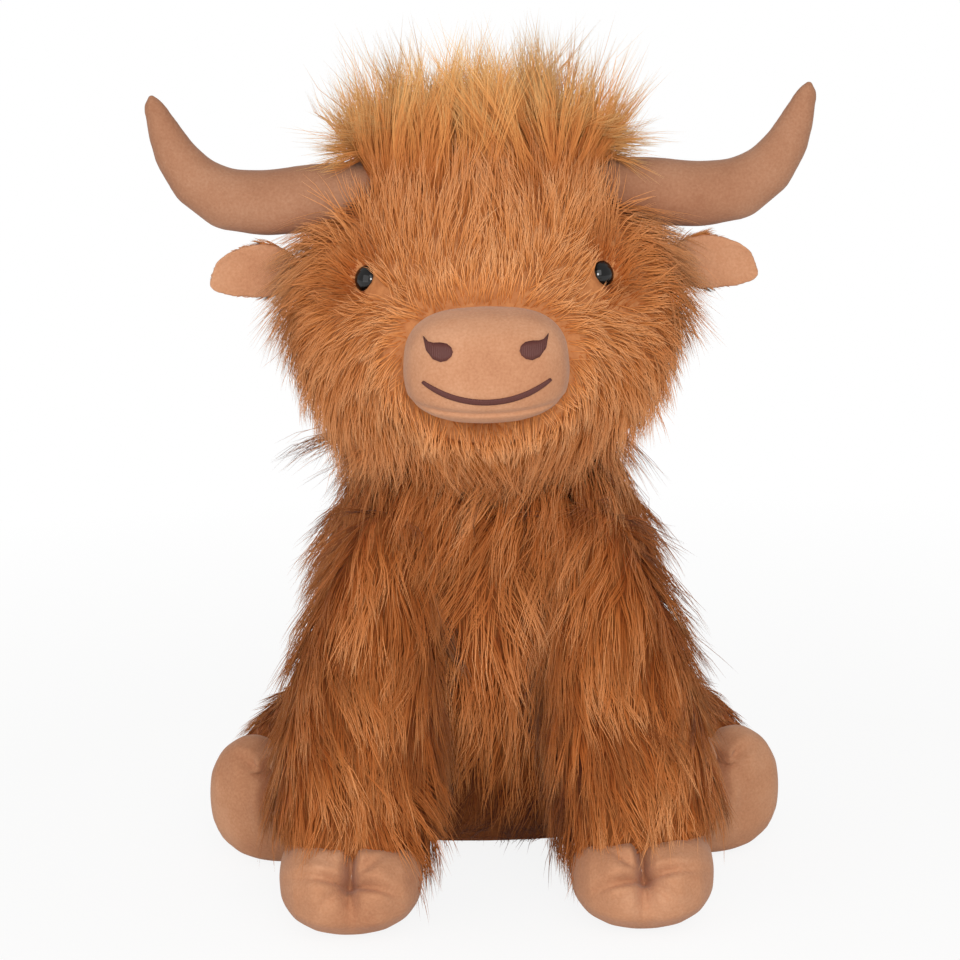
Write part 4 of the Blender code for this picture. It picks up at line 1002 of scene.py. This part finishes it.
def comb_front_leg(p, n, draw):
    side = np.sign(p[:, 0])
    axis_x = side * (0.043 + 0.018 * np.clip((0.165 - p[:, 2]) / 0.13, 0, 1))
    inward = side * (axis_x - p[:, 0])
    top = smooth_step(p[:, 2], 0.100, 0.140)
    flow = np.zeros_like(p)
    flow[:, 0] = (p[:, 0] - axis_x) * np.where(inward > 0, 10 + 6 * top, 1 + 2 * top) + 0.03
    flow[:, 0] += 0.24 * np.sin(p[:, 2] * 170 + p[:, 0] * 80) * (1 - top)
    flow[:, 1] = -0.22 - 1.6 * np.maximum(n[:, 2], 0)
    flow[:, 2] = -1
    hem = FRONT_HEM + draw.uniform(-0.006, 0.003, len(p))
    hem -= 0.009 * (inward > 0.008) + 0.013 * (inward > 0.018)
    length = hemmed(np.full(len(p), LEG_PILE) * (1 + 0.20 * top), p[:, 2], hem)
    lift = 0.30 + 0.10 * top - 0.14 * smooth_step(inward, 0.0, -0.020) * (1 - top)
    droop = np.full(len(p), 0.28)
    # Painted shade between the legs: the fur low on each leg's inner side is set darker
    tone = 0.50 - 0.22 * smooth_step(inward, 0.010, 0.032) * smooth_step(p[:, 2], 0.13, 0.06)
    return flow, length, lift, droop, tone


def keep_front_leg(p, n):
    over_top = (n[:, 2] > 0.3) & (n[:, 1] > 0.6)
    return (p[:, 2] > 0.030) & (n[:, 2] > -0.80) & ~over_top


def pinch(form, stitch, outward, folds):
    """Draws the cloth in at a stitch, with folds that run out from it."""
    points = read_points(form.data)
    outward = np.array(outward.normalized())
    upward = unit(np.array((0, 0, 1)) - outward * outward[2])
    across = np.cross(outward, upward)
    reach = points - np.array(stitch)
    depth = reach @ outward
    flat = reach - depth[:, None] * outward
    off = np.linalg.norm(flat, axis=1)
    angle = np.degrees(np.arctan2(flat @ across, flat @ upward))
    faces = smooth_step(depth, -0.022, -0.006)
    pull = STITCH_PULL * np.exp(-(off / STITCH_REACH) ** 1.05)
    pull -= LOBE_RISE * np.exp(-((off - 0.012) / 0.006) ** 2)
    for way, share in folds:
        away = np.radians((angle - way * np.sign(stitch[0]) + 180) % 360 - 180)
        line = np.abs(np.sin(away)) * off
        ahead = np.cos(away) > 0
        fade = np.exp(-(off / 0.022) ** 2) * (1 - np.exp(-(off / 0.004) ** 2))
        fold = np.exp(-(line / 0.0020) ** 2) - 0.40 * np.exp(-((line - 0.0046) / 0.0026) ** 2)
        pull += ahead * share * FOLD_DEPTH * fold * fade
    points -= (pull * faces)[:, None] * outward
    points -= flat * (0.28 * np.exp(-(off / 0.009) ** 2) * faces)[:, None]
    write_points(form.data, points)


def make_leg(
    word, kind, ankle, along, strands, seed, comb, keep, stitch, outward, folds, steps=5,
):
    body = f"{word}_{kind}_leg"
    filling = f"{body}_filling"
    leg = stuffed_form(
        f"{body}_backing", [f"{body}_cover", filling], LEG_VOXEL, 5,
        [(ankle + along * 0.004, along)],
    )
    dress(leg, backing, body, [f"{body}_cover"])
    grow_fur((f"{body}_fur",), leg, body, (strands,), seed, comb, keep, steps=steps)
    hoof = stuffed_form(
        f"{word}_{kind}_hoof_plush", [f"{word}_{kind}_hoof_cover", filling], CLOTH_VOXEL, 5,
        [(ankle - along * HOOF_SEAM_TUCK, -along)],
    )
    core = stuffed_form(f"{body}_fibre", [filling], CLOTH_VOXEL, 3)
    pinch(core, stitch - outward.normalized() * CORE_SET_BACK, outward, folds)
    dress(core, insides["filling"], body, [filling])
    inflate(hoof, 14, HOOF_SWELL, lambda p: np.maximum(
        smooth_step((p - np.array(ankle)) @ np.array(along), 0.004, -0.004),
        smooth_step(np.linalg.norm(p - np.array(stitch), axis=1), 0.012, 0.008),
    ))
    subdivide(hoof)
    pinch(hoof, stitch, outward, folds)
    dress(hoof, cloth, body, [f"{word}_{kind}_hoof_cover"])


for number, (side, word) in enumerate(((1, "left"), (-1, "right"))):
    ankle = Vector((side * FRONT_ANKLE[0], FRONT_ANKLE[1], FRONT_ANKLE[2]))
    along = Vector((side * 0.065, -0.21, -0.975)).normalized()
    make_leg(
        word, "front", ankle, along, FRONT_STRANDS, 53 + number, comb_front_leg, keep_front_leg,
        Vector((side * 0.061, -0.161, 0.030)), Vector((0, -0.86, 0.50)), FRONT_FOLDS,
    )

# Hind legs
# The same tubes, sewn to the rump so that they lie forward along the floor with
# the feet turned up.

HIND_STRANDS = 4300
HIND_PILE = 0.018
HIND_ANKLE = (0.094, -0.028, 0.030)
HIND_FOLDS = ((4, 3.4), (176, 0.9), (70, 0.45), (-62, 0.45), (124, 0.60))


def comb_hind_leg(p, n, draw):
    side = np.sign(p[:, 0])
    flow = np.zeros_like(p)
    flow[:, 0] = side * 0.25
    flow[:, 1] = -0.45
    flow[:, 2] = -0.9
    length = HIND_PILE * (1 - 0.45 * smooth_step(p[:, 1], 0.005, -0.026))
    lift = np.full(len(p), 0.22)
    droop = np.full(len(p), 0.25)
    tone = np.full(len(p), 0.50)
    return flow, length, lift, droop, tone


def keep_hind_leg(p, n):
    return (p[:, 2] > 0.004) & (n[:, 2] > -0.8)


for number, (side, word) in enumerate(((1, "left"), (-1, "right"))):
    ankle = Vector((side * HIND_ANKLE[0], HIND_ANKLE[1], HIND_ANKLE[2]))
    along = Vector((side * 0.37, -0.88, -0.29)).normalized()
    make_leg(
        word, "hind", ankle, along, HIND_STRANDS, 67 + number, comb_hind_leg, keep_hind_leg,
        Vector((side * 0.104, -0.059, 0.044)), Vector((side * 0.38, -0.92, 0.10)), HIND_FOLDS,
        steps=4,
    )

# Tail
# A slim tube of fur that hangs from the rump and ends in a tuft of longer pile.

TAIL_VOXEL = 0.0018
TAIL_STRANDS = 1800
TAIL_RADIUS = 0.00024


def comb_tail(p, n, draw):
    flow = np.zeros_like(p)
    flow[:, 1] = 0.15
    flow[:, 2] = -1
    length = 0.012 + 0.010 * smooth_step(p[:, 2], 0.045, 0.025)
    lift = np.full(len(p), 0.35)
    droop = np.full(len(p), 0.3)
    tone = np.full(len(p), 0.55)
    return flow, length, lift, droop, tone


def keep_tail(p, n):
    return p[:, 2] > 0.006


tail = stuffed_form("tail_backing", ["tail_cover", "tail_tuft"], TAIL_VOXEL, 4)
dress(tail, backing, "tail", ["tail_cover", "tail_tuft"])
grow_fur(
    ("tail_fur",), tail, "tail", (TAIL_STRANDS,), 83, comb_tail, keep_tail,
    steps=4, clump=0.6, radius=TAIL_RADIUS,
)

# Studio
# A plain pale floor and backdrop, a broad soft light from above and in front,
# and a camera a little above the toy, as in the photograph.

CAMERA_DISTANCE = 1.40
CAMERA_RISE_DEGREES = 11.0
CAMERA_TARGET = Vector((-0.0035, -0.033, 0.1705))
CAMERA_LENS = 119.3
CAMERA_ROLL_DEGREES = -1.2
FLOOR_REACH = 60.0
SHADOW_REACH = 0.8
SHADOW_WHITE = 0.88
AMBIENT_LEVEL = 0.56


def make_backdrop_material():
    """Seamless white paper that keeps the object's shadow."""
    material, shader = new_material("seamless_paper", 0.95)
    shader.inputs["Base Color"].default_value = linear("#f4f3f1")
    tree = material.node_tree
    glow = add_node(material, "ShaderNodeEmission", {"Color": (1, 1, 1, 1), "Strength": 1.0})
    path = add_node(material, "ShaderNodeLightPath")
    seen = add_node(
        material, "ShaderNodeMath",
        {0: path.outputs["Is Camera Ray"], 1: path.outputs["Is Glossy Ray"]}, operation="MAXIMUM",
    )
    place = add_node(material, "ShaderNodeTexCoord").outputs["Object"]
    reach = add_node(material, "ShaderNodeVectorMath", {0: place}, operation="LENGTH")
    white = add_node(material, "ShaderNodeMapRange", {
        "Value": reach.outputs["Value"], "From Min": SHADOW_REACH / 3, "From Max": SHADOW_REACH,
        "To Min": SHADOW_WHITE, "To Max": 1.0,
    })
    share = add_node(
        material, "ShaderNodeMath", {0: seen.outputs[0], 1: white.outputs["Result"]},
        operation="MULTIPLY",
    )
    mix = add_node(material, "ShaderNodeMixShader", {
        0: share.outputs[0], 1: shader.outputs["BSDF"], 2: glow.outputs["Emission"],
    })
    tree.links.new(mix.outputs["Shader"], tree.nodes["Material Output"].inputs["Surface"])
    return material


bpy.ops.object.select_all(action="DESELECT")
bpy.ops.mesh.primitive_plane_add(size=FLOOR_REACH, location=(0, 0, 0))
floor = bpy.context.object
floor.name = "studio_floor"
floor.data.materials.append(make_backdrop_material())

world = bpy.data.worlds.new("studio_world")
bpy.context.scene.world = world
world.use_nodes = True
tree = world.node_tree
background = tree.nodes["Background"]
background.inputs["Color"].default_value = (1, 1, 1, 1)
background.inputs["Strength"].default_value = AMBIENT_LEVEL
white = add_node(world, "ShaderNodeBackground", {"Color": (1, 1, 1, 1)})
path = add_node(world, "ShaderNodeLightPath")
mix = add_node(world, "ShaderNodeMixShader", {
    0: path.outputs["Is Camera Ray"],
    1: background.outputs["Background"],
    2: white.outputs["Background"],
})
tree.links.new(mix.outputs["Shader"], tree.nodes["World Output"].inputs["Surface"])


def add_lamp(name, place, size, power):
    lamp = bpy.data.lights.new(name, "AREA")
    lamp.size = size
    lamp.energy = power
    holder = bpy.data.objects.new(name, lamp)
    holder.location = place
    aim = CAMERA_TARGET - Vector(place)
    holder.rotation_euler = aim.to_track_quat("-Z", "Y").to_euler()
    bpy.context.scene.collection.objects.link(holder)


add_lamp("key_softbox", (0.35, -1.75, 1.05), 1.2, 9)
add_lamp("fill_softbox", (-1.1, -1.4, 0.7), 1.4, 6)
add_lamp("front_softbox", (0.06, -1.5, 0.60), 0.36, 6.5)

camera = bpy.data.objects.new("camera", bpy.data.cameras.new("camera"))
bpy.context.scene.collection.objects.link(camera)
rise = math.radians(CAMERA_RISE_DEGREES)
back = Vector((0, -math.cos(rise), math.sin(rise)))
camera.location = CAMERA_TARGET + back * CAMERA_DISTANCE
aim = (-back).to_track_quat("-Z", "Y").to_matrix()
roll = Matrix.Rotation(math.radians(CAMERA_ROLL_DEGREES), 3, "Z")
camera.rotation_euler = (aim @ roll).to_euler()
camera.data.lens = CAMERA_LENS
camera.data.sensor_width = 36
camera.data.clip_start = 0.05
camera.data.clip_end = 100
bpy.context.scene.camera = camera
bpy.context.scene.view_settings.view_transform = "Standard"
